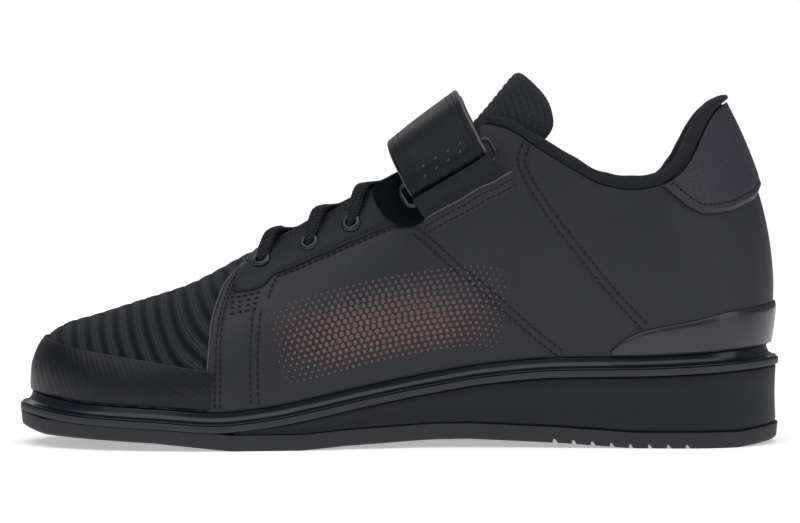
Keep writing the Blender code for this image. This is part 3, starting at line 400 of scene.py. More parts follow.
def thicken(piece, thickness, offset=-1.0, inner_slot=0):
    """Solidify gives a sheet its wall, inward when offset is -1."""
    wall = piece.modifiers.new("wall", "SOLIDIFY")
    wall.thickness = thickness * MM
    wall.offset = offset
    wall.use_even_offset = False
    wall.material_offset = inner_slot
    return piece


# %% Both sides in one sheet
def lengths(points, axis):
    """Running length along one axis of a grid, from steps between neighbours."""
    steps = np.linalg.norm(np.diff(points, axis=axis), axis=-1)
    start = np.zeros_like(np.take(steps, [0], axis=axis))
    return np.concatenate([start, np.cumsum(steps, axis=axis)], axis=axis)


def wrapped_sheet(name, u, low, high, rows, relief, finish, sides=SIDES,
                  chart=None, warp=None):
    """Rows of w from low to high on every station, for one or both sides of the shoe.
    Relief is a function of side, u, w and the bare points, and gives the height in mm.
    Warp, if given, moves the stations."""
    points, uvs, quads = [], [], []
    t = np.linspace(0.0, 1.0, rows)[:, None]
    for number, side in enumerate(sides):
        w = low(side, u) + (high(side, u) - low(side, u)) * t
        stations = np.broadcast_to(u[None, :], w.shape)
        if warp:
            stations = warp(side, stations, w)
        bare, _ = upper_surface(side, stations, w)
        grid, _ = upper_surface(side, stations, w, relief(side, stations, w, bare))
        if chart:
            uv = chart(side, stations, w, bare)
        else:
            uv = np.stack([bare[..., 0], lengths(bare, 0)], axis=-1) / 10
        points.append(grid)
        uvs.append(uv)
        quads.append(grid_quads(rows, len(u), number * grid[..., 0].size, side == OUTER))
    return piece_from(name, points, np.concatenate(quads), finish, np.stack(uvs), True)


def level(value):
    return lambda side, u: np.full(len(u), value)


print("grid of 3 by 4 points has", len(grid_quads(3, 4)), "faces")

# %% [markdown]
# ## The studio
#
# The photograph is a catalogue picture: the shoe stands side on, in soft light from above, on
# white. A long lens far away keeps the sides nearly parallel. One very wide lamp overhead lights
# the floor evenly as a white tent would, and large area lamps give the broad, weak shine that
# black leather needs, because small lamps would only leave dots on it.

# %% Camera, lamps and floor
EYE = np.array([0.0, -1.300, 0.115])
AIM = np.array([0.0, 0.0, 0.0707])
lens = bpy.data.cameras.new("photo_lens")
lens.sensor_width = 36.0
lens.lens = 148.5
lens.clip_start = 0.05
camera = bpy.data.objects.new("camera", lens)
camera.location = EYE - [0.0, MIDDLE_Y * MM, 0.0]
camera.rotation_euler = Vector(AIM - EYE).to_track_quat("-Z", "Y").to_euler()
bpy.context.scene.collection.objects.link(camera)
bpy.context.scene.camera = camera


def lamp(name, at, aim, size, watts):
    """A square area lamp at a point, turned to face another point."""
    data = bpy.data.lights.new(name, "AREA")
    data.shape = "RECTANGLE"
    data.size, data.size_y = size
    data.energy = watts
    lamp_object = bpy.data.objects.new(name, data)
    lamp_object.location = at
    lamp_object.rotation_euler = (Vector(aim) - Vector(at)).to_track_quat("-Z", "Y").to_euler()
    bpy.context.scene.collection.objects.link(lamp_object)
    return lamp_object


tent = bpy.data.lights.new("overhead_tent", "SUN")
tent.energy = 1.7
tent.angle = np.radians(70.0)
tent_object = bpy.data.objects.new("overhead_tent", tent)
tent_object.rotation_euler = Vector((0.05, 0.30, -1.0)).to_track_quat("-Z", "Y").to_euler()
bpy.context.scene.collection.objects.link(tent_object)
lamp("front_lamp", (-0.75, -1.25, 0.75), (0.0, 0.0, 0.06), (0.9, 0.9), 1.5)
lamp("rear_lamp", (1.05, -0.60, 0.60), (0.10, 0.0, 0.07), (0.6, 1.0), 2.6)
lamp("far_lamp", (-0.20, 1.20, 0.80), (0.0, 0.0, 0.08), (1.4, 0.8), 2.5)

sky = bpy.data.worlds.new("studio")
bpy.context.scene.world = sky
sky.use_nodes = True
backdrop = sky.node_tree.nodes["Background"]
backdrop.inputs["Color"].default_value = (1.0, 1.0, 1.0, 1.0)
rays = sky.node_tree.nodes.new("ShaderNodeLightPath")
strength = sky.node_tree.nodes.new("ShaderNodeMapRange")
strength.inputs["To Min"].default_value = 0.16
strength.inputs["To Max"].default_value = 1.0
sky.node_tree.links.new(rays.outputs["Is Camera Ray"], strength.inputs["Value"])
sky.node_tree.links.new(strength.outputs["Result"], backdrop.inputs["Strength"])
bpy.context.scene.view_settings.view_transform = "Standard"

# %% Floor
floor_finish = bpy.data.materials.new("pale_floor")
floor_finish.use_nodes = True
floor_shader = floor_finish.node_tree.nodes["Principled BSDF"]
floor_shader.inputs["Base Color"].default_value = (0.93, 0.93, 0.93, 1.0)
floor_shader.inputs["Roughness"].default_value = 0.9
floor_shader.inputs["Emission Color"].default_value = (1.0, 1.0, 1.0, 1.0)
floor_shader.inputs["Emission Strength"].default_value = 0.42
floor_mesh = bpy.data.meshes.new("floor")
floor_mesh.from_pydata([(-9, -9, 0), (9, -9, 0), (9, 9, 0), (-9, 9, 0)], [], [(0, 1, 2, 3)])
floor_mesh.materials.append(floor_finish)
floor = bpy.data.objects.new("floor", floor_mesh)
bpy.context.scene.collection.objects.link(floor)
print("camera stands", round(float(np.linalg.norm(AIM - EYE)), 2), "m away")

# %% [markdown]
# ## Finishes from nodes
#
# Everything on this shoe is nearly black, so colour says little. What tells leather from knit
# or rubber is how rough it is and how its small bumps catch the light. Each finish is a
# Principled shader with its own bumps: cells for leather, waves for yarn, fine noise for
# rubber. A small wrapper keeps the node code readable.


# %% A wrapper round the node tree
class Finish:
    """One material and the few node patterns that this shoe needs."""

    def __init__(self, name, colour, roughness, **sockets):
        self.material = bpy.data.materials.new(name)
        self.material.use_nodes = True
        self.tree = self.material.node_tree
        self.shader = self.tree.nodes["Principled BSDF"]
        self.colour = colour
        self.shader.inputs["Base Color"].default_value = (*colour, 1.0)
        self.shader.inputs["Roughness"].default_value = roughness
        for socket, value in sockets.items():
            self.shader.inputs[socket.replace("_", " ")].default_value = value

    def node(self, kind, **settings):
        made = self.tree.nodes.new(kind)
        for name, value in settings.items():
            setattr(made, name, value)
        return made

    def join(self, source, target):
        self.tree.links.new(source, target)

    def place(self, scale=(1.0, 1.0, 1.0), turn=0.0, uv=False):
        """Object coordinates in metres, or UV in centimetres, scaled and turned."""
        coordinates = self.node("ShaderNodeTexCoord")
        mapping = self.node("ShaderNodeMapping")
        mapping.inputs["Scale"].default_value = scale
        mapping.inputs["Rotation"].default_value = (0.0, 0.0, np.radians(turn))
        self.join(coordinates.outputs["UV" if uv else "Object"], mapping.inputs["Vector"])
        return mapping.outputs["Vector"]

    def noise(self, vector, scale, detail=3.0, roughness=0.5):
        made = self.node("ShaderNodeTexNoise")
        made.inputs["Scale"].default_value = scale
        made.inputs["Detail"].default_value = detail
        made.inputs["Roughness"].default_value = roughness
        self.join(vector, made.inputs["Vector"])
        return made.outputs["Fac"]

    def cells(self, vector, scale, feature="F1"):
        made = self.node("ShaderNodeTexVoronoi", feature=feature)
        made.inputs["Scale"].default_value = scale
        self.join(vector, made.inputs["Vector"])
        return made.outputs["Distance"]

    def wave(self, vector, scale, direction="X", distortion=0.0):
        """Sine bands across one axis. A scale of s gives s * 20 / (2 pi) bands a unit."""
        made = self.node("ShaderNodeTexWave", wave_type="BANDS", bands_direction=direction)
        made.inputs["Scale"].default_value = scale
        made.inputs["Distortion"].default_value = distortion
        made.inputs["Detail"].default_value = 1.0
        self.join(vector, made.inputs["Vector"])
        return made.outputs["Fac"]

    def maths(self, operation, first, second=0.5):
        made = self.node("ShaderNodeMath", operation=operation)
        for socket, value in zip(made.inputs, (first, second)):
            if isinstance(value, (int, float)):
                socket.default_value = value
            else:
                self.join(value, socket)
        return made.outputs[0]

    def ramp(self, value, low, high, out_low=0.0, out_high=1.0):
        made = self.node("ShaderNodeMapRange")
        for name, number in (("From Min", low), ("From Max", high), ("To Min", out_low),
                             ("To Max", out_high)):
            made.inputs[name].default_value = number
        self.join(value, made.inputs["Value"])
        return made.outputs["Result"]

    def tint(self, value, dark, light):
        """Base colour between two shades of the finish, by a pattern from 0 to 1."""
        made = self.node("ShaderNodeMix", data_type="RGBA")
        made.inputs["A"].default_value = (*[c * dark for c in self.colour], 1.0)
        made.inputs["B"].default_value = (*[c * light for c in self.colour], 1.0)
        self.join(value, made.inputs["Factor"])
        self.join(made.outputs["Result"], self.shader.inputs["Base Color"])

    def roughen(self, value, low, high):
        self.join(self.ramp(value, 0.0, 1.0, low, high), self.shader.inputs["Roughness"])

    def bump(self, *layers):
        """Bumps laid one over the other: (height pattern, depth in millimetres)."""
        normal = None
        for height, depth in layers:
            made = self.node("ShaderNodeBump")
            made.inputs["Strength"].default_value = 1.0
            made.inputs["Distance"].default_value = depth * MM
            self.join(height, made.inputs["Height"])
            if normal is not None:
                self.join(normal, made.inputs["Normal"])
            normal = made.outputs["Normal"]
        self.join(normal, self.shader.inputs["Normal"])
        return self


PER_UNIT = 2 * np.pi / 20
print("one wave of 1 mm on centimetre coordinates needs a scale of", round(10 * PER_UNIT, 2))


# %% Leather
def leather_finish(name, colour, roughness, grain=0.035, shine=0.32):
    """Small cells with soft edges, a finer speckle, and slow changes of shade."""
    made = Finish(name, colour, roughness, Specular_IOR_Level=shine)
    at = made.place()
    pores = made.ramp(made.cells(at, 1150.0, "DISTANCE_TO_EDGE"), 0.0, 0.35)
    speckle = made.noise(at, 2600.0, 2.0)
    drift = made.noise(at, 28.0, 3.0)
    made.tint(made.maths("ADD", made.maths("MULTIPLY", drift, 0.7),
                         made.maths("MULTIPLY", speckle, 0.3)), 0.82, 1.22)
    made.roughen(drift, roughness - 0.05, roughness + 0.09)
    made.bump((made.noise(at, 120.0, 3.0), 0.06), (pores, grain), (speckle, 0.02))
    return made


leather = leather_finish("smooth_leather", (0.0200, 0.0212, 0.0275), 0.47)
stay_leather = leather_finish("stay_leather", (0.0110, 0.0125, 0.0180), 0.47, shine=0.24)
tab_leather = leather_finish("heel_tab_leather", (0.0290, 0.0297, 0.0400), 0.44, 0.03)
strap_leather = leather_finish("strap_leather", (0.0080, 0.0094, 0.0130), 0.40, 0.03, 0.16)

# Pale finish for cut edges, slot edges and hole lips: partly the edge's own paler tone, partly a
# painted highlight.
lit_cut_edge = Finish("cut_edge_with_painted_highlight", (0.088, 0.089, 0.090), 0.65)
lit_cut_edge.bump((lit_cut_edge.noise(lit_cut_edge.place(), 1800.0, 3.0), 0.08))
# Near-black discs for the punched holes: painted shade inside each hole.
hole_shade = Finish("painted_hole_shade", (0.004, 0.004, 0.005), 0.8)
hole_shade.bump((hole_shade.noise(hole_shade.place(), 3000.0, 2.0), 0.03))
print("leather finishes:", 5)

# %% [markdown]
# ### Knitted cloth
#
# The forefoot is knitted in ribs, and the collar and tongue are a denser knit over foam. Yarn
# is shown as two crossing rows of tiny loops with paler specks between them. The loops run on
# the UV map, so they turn with the ribs.


# %% Knit, braid, webbing and felt
RIB_PITCH = 5.3


def rib_tones_with_shade(made, shade):
    """Painted shade in the valleys between ribs, mid-toned ribs, and two pale fine lines on each.
    Phase is the part of u * 10 / pitch after the point, and each band is a ramp of its distance
    from a middle."""
    split = made.node("ShaderNodeSeparateXYZ")
    made.join(made.place(uv=True), split.inputs["Vector"])
    phase = made.maths("FRACT", made.maths("MULTIPLY", split.outputs["X"], 10 / RIB_PITCH))

    def band_at(middle, solid, soft):
        away = made.maths("ABSOLUTE", made.maths("SUBTRACT", phase, middle))
        return made.ramp(away, solid, soft, 1.0, 0.0)

    lines = made.maths("MAXIMUM", band_at(0.42, 0.012, 0.05), band_at(0.62, 0.012, 0.05))
    rib = made.maths("MULTIPLY", band_at(0.52, 0.24, 0.40),
                     made.maths("ADD", made.maths("MULTIPLY", shade, 0.55), 0.14))
    return made.maths("ADD", rib, made.maths("MULTIPLY", lines, 0.30))


def yarn_finish(name, colour, across, along, turn=0.0, depth=0.16, fleck=1.9, ribs=None):
    """Loops: the product of two sine waves, across and along the cloth, sizes in mm."""
    made = Finish(name, colour, 0.82, Specular_IOR_Level=0.18, Sheen_Weight=0.10,
                  Sheen_Roughness=0.4)
    made.shader.inputs["Sheen Tint"].default_value = (0.5, 0.53, 0.6, 1.0)
    at = made.place(turn=turn, uv=True)
    rows = made.wave(at, 10 * PER_UNIT / across, "X", 0.6)
    loops = made.wave(at, 10 * PER_UNIT / along, "Y", 0.9)
    weave = made.maths("MULTIPLY", rows, loops)
    fuzz = made.noise(made.place(), 1500.0, 3.0, 0.6)
    specks = made.ramp(made.noise(made.place(), 2300.0, 1.0), 0.58, 0.72)
    shade = made.maths("ADD", made.maths("MULTIPLY", weave, 0.45),
                       made.maths("MULTIPLY", specks, 0.55))
    # With ribs, the shade value also carries painted shade in the rib valleys, so the tint's dark
    # end drops to 0.20.
    if ribs:
        shade = ribs(made, shade)
    made.tint(shade, 0.20 if ribs else 0.62, fleck)
    made.bump((weave, depth), (fuzz, 0.10))
    return made


vamp_knit = yarn_finish("vamp_knit", (0.0140, 0.0163, 0.0215), 0.75, 0.55, 0.0, 0.14, 4.6,
                        rib_tones_with_shade)
cuff_knit = yarn_finish("cuff_knit", (0.0130, 0.0142, 0.0180), 0.55, 0.5, 20.0, 0.16, 4.2)
tongue_knit = yarn_finish("tongue_knit", (0.0235, 0.0260, 0.0310), 0.8, 0.7, 8.0, 0.18, 3.2)
lining_cloth = yarn_finish("lining_cloth", (0.010, 0.0105, 0.012), 0.9, 0.9, 45.0, 0.10, 1.4)
lace_braid = yarn_finish("lace_braid", (0.0095, 0.0110, 0.0135), 0.9, 1.1, 38.0, 0.36, 5.5)
webbing_yarn = yarn_finish("webbing_yarn", (0.0170, 0.0195, 0.0245), 0.6, 0.8, 0.0, 0.10, 2.6)
thread = yarn_finish("stitching_thread", (0.020, 0.0205, 0.023), 0.4, 0.4, 30.0, 0.05, 1.6)
hook_cloth = yarn_finish("hook_and_loop_cloth", (0.0075, 0.0082, 0.0095), 0.7, 0.7, 15.0, 0.30,
                         2.6)

felt = Finish("pad_felt", (0.0010, 0.0026, 0.0044), 0.97, Specular_IOR_Level=0.08,
              Sheen_Weight=0.08, Sheen_Roughness=0.6)
felt.shader.inputs["Sheen Tint"].default_value = (0.25, 0.32, 0.4, 1.0)
felt_at = felt.place()
felt_fibres = felt.noise(felt_at, 900.0, 6.0, 0.75)
felt.tint(felt_fibres, 0.5, 1.6)
felt.bump((felt_fibres, 0.35), (felt.noise(felt_at, 3500.0, 2.0), 0.12))
print("cloth finishes:", 9)

# %% [markdown]
# ### Rubber, plastic and metal
#
# The sole is moulded in layers that differ only in shine: dull outsole rubber, a paler rubber
# rim, a finely textured wedge, and a polished ledge under the upper that mirrors the studio.


# %% Sole, counter, eyelet and ring finishes
def moulded_finish(name, colour, roughness, grain, depth, **sockets):
    made = Finish(name, colour, roughness, **sockets)
    at = made.place()
    fine = made.noise(at, grain, 2.0)
    drift = made.noise(at, 22.0, 3.0)
    made.tint(drift, 0.88, 1.14)
    made.roughen(drift, roughness - 0.05, roughness + 0.07)
    made.bump((fine, depth))
    return made


outsole_rubber = moulded_finish("outsole_rubber", (0.0225, 0.0238, 0.0280), 0.62, 900.0, 0.05,
                                Specular_IOR_Level=0.35)
rim_rubber = moulded_finish("rim_rubber", (0.0260, 0.0275, 0.0325), 0.55, 700.0, 0.03,
                            Specular_IOR_Level=0.40)
wedge_plastic = moulded_finish("wedge_plastic", (0.0095, 0.0108, 0.0150), 0.52, 1500.0, 0.05,
                               Specular_IOR_Level=0.26)
ledge_gloss = moulded_finish("glossy_ledge", (0.0055, 0.0090, 0.0150), 0.24, 60.0, 0.05,
                             Specular_IOR_Level=0.35, Coat_Weight=0.12, Coat_Roughness=0.1)
eyelet_gloss = moulded_finish("eyelet_plastic", (0.009, 0.011, 0.015), 0.30, 400.0, 0.02,
                              Coat_Weight=0.15, Coat_Roughness=0.15)
ring_metal = moulded_finish("ring_metal", (0.045, 0.048, 0.055), 0.20, 350.0, 0.02, Metallic=1.0)

counter = Finish("counter_plastic", (0.0140, 0.0150, 0.0200), 0.32, Coat_Weight=0.12,
                 Coat_Roughness=0.16)
brush = counter.noise(counter.place(scale=(1.0, 1.0, 45.0)), 60.0, 4.0)
counter.tint(brush, 0.80, 1.25)
counter.roughen(brush, 0.22, 0.40)
counter.bump((brush, 0.03))

toe_film = Finish("toe_cap_film", (0.0055, 0.0065, 0.0100), 0.42, Specular_IOR_Level=0.26,
                  Coat_Weight=0.05, Coat_Roughness=0.3)
film_at = toe_film.place()
film_ribs = toe_film.wave(toe_film.place(uv=True), 10 * PER_UNIT / 1.7, "X", 0.5)
toe_film.tint(toe_film.maths("ADD", toe_film.maths("MULTIPLY", film_ribs, 0.5),
                             toe_film.noise(film_at, 30.0, 3.0)), 0.70, 1.20)
toe_film.bump((film_ribs, 0.05), (toe_film.noise(film_at, 900.0, 3.0), 0.02))
print("moulded finishes:", 8)

# %% [markdown]
# ## The sole, from the floor up
#
# Each layer of the sole follows the outline, a little inside or outside it, from one height to
# the next. So a layer is a short list of (inset, height) rows, and its underside can carry a
# pattern of depths. The tread is cut as such a pattern and needs no Boolean.


# %% A layer of the sole
def sole_layer(name, u, rows, finish, across=2, depth=None):
    """Closed rings round the outline, plus a bottom and a top sheet between the two sides.
    Depth is a function of x and y in mm that lifts the underside into grooves."""
    rings = []
    for inset, height in rows:
        sides = []
        for side in SIDES:
            xy = outline(side, u) - outward(side, u) * inset
            sides.append(np.concatenate([xy, np.broadcast_to(height, u.shape)[:, None]], axis=1))
        rings.append(sides)
    floor_height = np.broadcast_to(rows[0][1], u.shape)
    if depth:
        lifted = floor_height + depth(outline(INNER, u)[:, 0], np.full(u.shape, 99.0))
        for sides in rings:
            for line in sides:
                line[:, 2] = np.maximum(line[:, 2], lifted)
    skin = np.stack([np.concatenate([inner, outer[-2:0:-1]]) for inner, outer in rings])
    points = [skin.reshape(-1, 3)]
    quads = [grid_quads(len(rows), skin.shape[1], wrap_columns=True)]
    first = points[0].shape[0]
    for number, (inner, outer) in enumerate((rings[0], rings[-1])):
        t = np.linspace(0, 1, across if number == 0 else 2)[None, :, None]
        sheet = inner[:, None] + (outer[:, None] - inner[:, None]) * t
        if number == 0 and depth:
            sheet[:, 1:-1, 2] = (floor_height[:, None]
                                 + depth(sheet[..., 0], sheet[..., 1]))[:, 1:-1]
        points.append(sheet.reshape(-1, 3))
        quads.append(grid_quads(len(u), sheet.shape[1], first, number == 0))
        first += sheet.shape[0] * sheet.shape[1]
    points = np.concatenate(points)
    return piece_from(name, points, np.concatenate(quads), finish, points[:, :2] / 10,
                      True, True)


# %% Tread
GROOVE_WIDTH = 1.6
HEEL_GROOVE_CUT = (1.5, 200.0)
FORE_GROOVE_CUT = (1.3, 31.0)
HEEL_GROOVES = 0.70 + np.arange(8) * 7.3 / SOLE_LENGTH
FORE_GROOVES = 0.13 + np.arange(7) * 9.0 / SOLE_LENGTH
EASE = 0.15


def tread_depth(x, y):
    """Sum of flat-bottomed cuts: each is 1 inside half its width and falls off over EASE.
    A cut is its depth and how far it reaches to each side."""
    depth = np.zeros_like(x)
    middle = along_table(x / SOLE_LENGTH + 0.5, OUTLINE, 1) * BALL_WIDTH
    for share, deep, reach in ([(s, *HEEL_GROOVE_CUT) for s in HEEL_GROOVES]
                               + [(s, *FORE_GROOVE_CUT) for s in FORE_GROOVES]):
        away = np.abs(x - (share - 0.5) * SOLE_LENGTH)
        cut = np.clip((GROOVE_WIDTH / 2 + EASE - away) / (2 * EASE), 0, 1)
        depth = depth + deep * cut * (np.abs(y - middle) < reach)
    return depth


cuts = np.concatenate([HEEL_GROOVES, FORE_GROOVES])
ease = np.array([-1, 1])[:, None] * (GROOVE_WIDTH / 2 + EASE * np.array([-1.0, 1.0]))
cut_stations = station_of((cuts[:, None] + ease.reshape(1, -1) / SOLE_LENGTH).ravel())
sole_u = np.unique(np.concatenate([np.linspace(0.0, 1.0, 321), cut_stations]))
low = underside(sole_u)
top = rim_top(sole_u)
rubber_top = np.minimum(low + RUBBER_THICK, top - RIM_THICK)
outsole = sole_layer("outsole_tread", sole_u, [
    (1.4, low), (0.95, low + 0.35), (0.65, low + 1.0), (0.55, low + 1.6), (0.45, low + 3.0),
    (0.18, rubber_top - 0.4), (0.22, rubber_top - 0.05), (0.45, rubber_top + 0.1),
], outsole_rubber, 40, tread_depth)
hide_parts("outsole")

# %% Heel wedge, rim, ledge and insole
wedge_u = np.linspace(0.36, 1.0, 240)
wedge_low = underside(wedge_u) + RUBBER_THICK + GAP
wedge_top = rim_top(wedge_u) - RIM_THICK
wedge_rows = [(1.3, wedge_low)]
wedge_rows += [(0.9 + 0.45 * np.sin(np.pi * t), wedge_low + (wedge_top - wedge_low) * t)
               for t in (0.06, 0.25, 0.5, 0.75, 0.95)]
wedge_rows += [(1.4, wedge_top)]
wedge = sole_layer("heel_wedge", wedge_u, wedge_rows, wedge_plastic)
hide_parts("wedge")

plain_u = np.linspace(0.0, 1.0, 300)
top = rim_top(plain_u)
rim = sole_layer("rubber_rim", plain_u, [
    (0.40, top - 2.5), (0.10, top - 2.45), (0.0, top - 2.3), (0.0, top - 0.5),
    (0.16, top - 0.16), (0.50, top),
], rim_rubber)
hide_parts("rim")

ledge = sole_layer("glossy_ledge", plain_u, [
    (0.95, top + 0.3), (0.82, top + 0.36), (0.80, top + 0.55), (0.95, top + 0.72),
    (1.30, top + 0.80), (2.00, top + 0.90), (2.80, top + 1.15), (3.50, top + 1.65),
    (4.05, top + 2.40), (4.40, top + 3.30), (4.62, top + 4.30), (4.80, top + 5.00),
], ledge_gloss)
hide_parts("welt")

bed = top + LEDGE_RISE + GAP
insole = sole_layer("foot_bed", plain_u, [
    (7.8, bed), (7.8, bed + 3.0), (8.1, bed + 3.7), (9.0, bed + 4.0),
], lining_cloth, 12)
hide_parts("insole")
print("sole layers made: 5")

# %% [markdown]
# ## The knitted forefoot
#
# The forefoot is one knitted sheet. Broad raised ribs run over the toes and bend back as they
# go down the sides, about 5.3 mm apart. Each rib carries fine double lines. Ribs as thick as
# these catch light on their flanks, so they are true relief in the mesh, and only the yarn is
# a bump.


# %% Ribs of the knit
def rib_phase(side, u, w, bare):
    """Count of ribs: x minus a shift that grows with the drop below the ridge, in pitches."""
    ridge, _ = upper_surface(side, u[0], np.ones_like(u[0]))
    drop = np.maximum(ridge[None, :, 2] - bare[..., 2], 0.0)
    return (bare[..., 0] - 0.20 * drop - 0.0048 * drop**2) / RIB_PITCH


def rib_relief(side, u, w, bare):
    """A flat-topped rib: two fine lines near its middle, and a smooth valley beside it."""
    phase = rib_phase(side, u, w, bare) % 1.0
    body = np.clip(1.6 * np.sin(np.pi * phase) ** 0.8, 0, 1)
    lines = np.maximum(np.exp(-((phase - 0.42) / 0.055) ** 2),
                       np.exp(-((phase - 0.62) / 0.055) ** 2))
    fade = np.clip((bare[..., 0] + 145.0) / 14.0, 0, 1)
    return fade * (0.27 * body + 0.12 * lines)


def knit_chart(side, u, w, bare):
    """UV across and along the ribs, in centimetres."""
    phase = rib_phase(side, u, w, bare)
    return np.stack([phase * RIB_PITCH, lengths(bare, 0)], axis=-1) / 10


vamp_u = np.linspace(0.0, QUARTER_EDGE + 0.021, 250)
vamp = wrapped_sheet("knit_vamp", vamp_u, level(0.0), level(1.0), 84, rib_relief, vamp_knit,
                     chart=knit_chart)
thicken(vamp, 1.9)

# %% [markdown]
# ## Seams
#
# The leather is sewn in double rows. A seam is a short table of (u, w) places, with a smooth
# line through them. To run a second row beside the first, the line is moved aside in the
# surface itself: the step in millimetres is turned into steps of u and w with the surface's
# two tangents, so both rows lie on the leather however it curves.


# %% Lines on the leather
def on_leather(side, u, w, raised=QUARTER_STEP):
    return upper_surface(side, u, w, raised)


def swell(side, w, bare):
    """Height of the leather's slow waves, 24 to 60 mm long, that fade out at its edges."""
    x, z = bare[..., 0], bare[..., 2]
    waves = (0.13 * np.sin(x / 9.0 + z / 14.0 + side) * np.sin(z / 11.0 - x / 23.0)
             + 0.05 * np.sin(x / 5.2 - z / 7.5))
    return waves * np.clip(np.minimum(w, 1 - w) / 0.08, 0, 1)


def on_waves(side, u, w, raised):
    """On the leather as it lies: its step and its slow waves, and a height over them."""
    bare, _ = on_leather(side, u, w, 0.0)
    return on_leather(side, u, w, QUARTER_STEP + raised + swell(side, w, bare))


def seam_line(side, rows, aside=0.0, count=240):
    """u and w along a smooth line through the rows, moved aside by some millimetres."""
    rows = np.asarray(rows, float)
    knots, _ = on_leather(side, rows[:, 0], rows[:, 1])
    run = lengths(knots, 0)
    t = np.linspace(0, run[-1], count)
    u, w = smooth(t, run, rows[:, 0]), smooth(t, run, rows[:, 1])
    if aside:
        points, normals = on_leather(side, u, w)
        along = np.gradient(points, axis=0)
        along = unit(along)
        step = np.cross(normals, along) * -side * aside
        h = 0.002
        by_u = (on_leather(side, u + h, w)[0] - on_leather(side, u - h, w)[0]) / (2 * h)
        by_w = (on_leather(side, u, w + h)[0] - on_leather(side, u, w - h)[0]) / (2 * h)
        uu, uw, ww = (np.sum(a * b, axis=1) for a, b in
                      ((by_u, by_u), (by_u, by_w), (by_w, by_w)))
        su, sw = np.sum(by_u * step, axis=1), np.sum(by_w * step, axis=1)
        det = uu * ww - uw**2
        u = u + (ww * su - uw * sw) / det
        w = np.clip(w + (uu * sw - uw * su) / det, 0.0, 1.0)
    return u, w


FRONT_EDGE = [(0.3362, 0.010), (0.3312, 0.200), (0.3262, 0.348), (0.3225, 0.475),
              (0.3219, 0.652), (0.3250, 0.758), (0.3406, 0.890)]
STRIP_SEAM = [(0.3688, 0.500), (0.3719, 0.343), (0.3756, 0.195), (0.3800, 0.018)]
STAY_SEAM = [(0.3745, 0.560), (0.3750, 0.613), (0.3769, 0.657), (0.3813, 0.698),
             (0.3994, 0.705), (0.4163, 0.713), (0.4569, 0.715), (0.4819, 0.713),
             (0.4956, 0.712)]
MIDDLE_SEAM = [(0.5006, 0.638), (0.5438, 0.400), (0.5887, 0.220), (0.6356, 0.015)]
HEEL_SEAM = [(0.6106, 0.978), (0.605, 0.878), (0.6138, 0.797), (0.6375, 0.667),
             (0.6606, 0.550), (0.6931, 0.355), (0.7206, 0.172)]
SLOT_EDGE = [(0.5069, 0.660), (0.5262, 0.670), (0.5469, 0.682), (0.5694, 0.710),
             (0.5844, 0.753), (0.5956, 0.792)]
SEAM_ROWS = [(FRONT_EDGE, -3.0), (FRONT_EDGE, -4.9), (STAY_SEAM, -1.2)]
SEAM_ROWS += [(rows, aside) for rows in (STRIP_SEAM, MIDDLE_SEAM, HEEL_SEAM)
              for aside in (-1.4, 1.4)]
SEAM_ROWS += [([(0.3345 + 0.002 * row, 0.569 - 0.031 * row), (0.352, 0.588 - 0.031 * row),
                (0.3690, 0.605 - 0.031 * row)], 0.0) for row in range(4)]
seams = {side: [seam_line(side, rows, aside) for rows, aside in SEAM_ROWS]
         for side in SIDES}
print("rows of stitches on each side:", len(SEAM_ROWS))


# %% Stitches
STITCH_SHARE = 0.80


def capsule(around=6, along=5):
    """Unit thread: radius as the root of 1 - x^4 along x from -1 to 1, round in y and z."""
    x = np.cos(np.linspace(np.pi, 0, along))
    radius = np.sqrt(np.clip(1 - x**4, 0.0, 1)) + 0.02
    angle = np.linspace(0, 2 * np.pi, around, endpoint=False)
    y = radius[:, None] * np.cos(angle)
    z = radius[:, None] * np.sin(angle)
    return np.stack([np.broadcast_to(x[:, None], y.shape), y, z], axis=-1)


def every(points, pitch):
    """Middles and directions of equal steps along a polyline."""
    run = lengths(points, 0)
    count = max(int(run[-1] / pitch), 1)
    at = (np.arange(count) + 0.5) * run[-1] / count
    middle, ahead, behind = (each_column(np.interp, at + step, run, points)
                             for step in (0.0, 0.4, -0.4))
    along = ahead - behind
    return middle, unit(along), at, run


def sew(name, lines, finish, pitch=2.5, radius=0.27):
    """One capsule per stitch: middle + along * x + aside * y + up * z, for all at once."""
    shape = capsule()
    points = []
    for line, normals in lines:
        middle, along, at, run = every(line, pitch)
        up = each_column(np.interp, at, run, normals)
        aside = np.cross(up, along)
        aside = unit(aside)
        up = np.cross(along, aside)
        frames = [vector[:, None, None, :] for vector in (along, aside, up)]
        x, y, z = (shape[None, ..., k, None] for k in range(3))
        points.append(middle[:, None, None]
                      + frames[0] * x * pitch * STITCH_SHARE / 2
                      + frames[1] * y * radius + frames[2] * z * radius)
    points = np.concatenate(points)
    count = points.shape[0]
    base = sweep_quads(shape.shape[0], shape.shape[1])
    step = shape.shape[0] * shape.shape[1]
    quads = base[None] + (np.arange(count) * step)[:, None, None]
    uv = np.zeros((count * step, 2))
    print(name, "has", count, "stitches")
    return piece_from(name, points, quads, finish, uv, False, True)


sew("quarter_stitches", [on_waves(side, u, w, -0.06) for side in SIDES for u, w in seams[side]],
    thread)

# %% [markdown]
# ## The leather quarter
#
# One supple leather piece wraps the shoe from the lacing round the heel. It is not a perfect
# surface: it sinks along every seam, where the thread pulls it down, and swells a little between
# them. Both are added to its height. The distance from each point to the nearest stitch row
# gives the sink, and a few slow waves give the swell.


# %% Seam sink and soft waves
def nearest(points, targets, reach=6.0):
    """Distance of every point to the nearest target, a slab of points at a time."""
    flat = points.reshape(-1, 3).astype(np.float32)
    targets = targets.astype(np.float32)
    best = np.full(len(flat), reach, np.float32)
    for start in range(0, len(flat), 4000):
        part = flat[start:start + 4000]
        square = ((part**2).sum(1)[:, None] + (targets**2).sum(1)[None, :]
                  - 2 * part @ targets.T)
        best[start:start + 4000] = np.minimum(np.sqrt(np.maximum(square.min(1), 0)), reach)
    return best.reshape(points.shape[:-1])


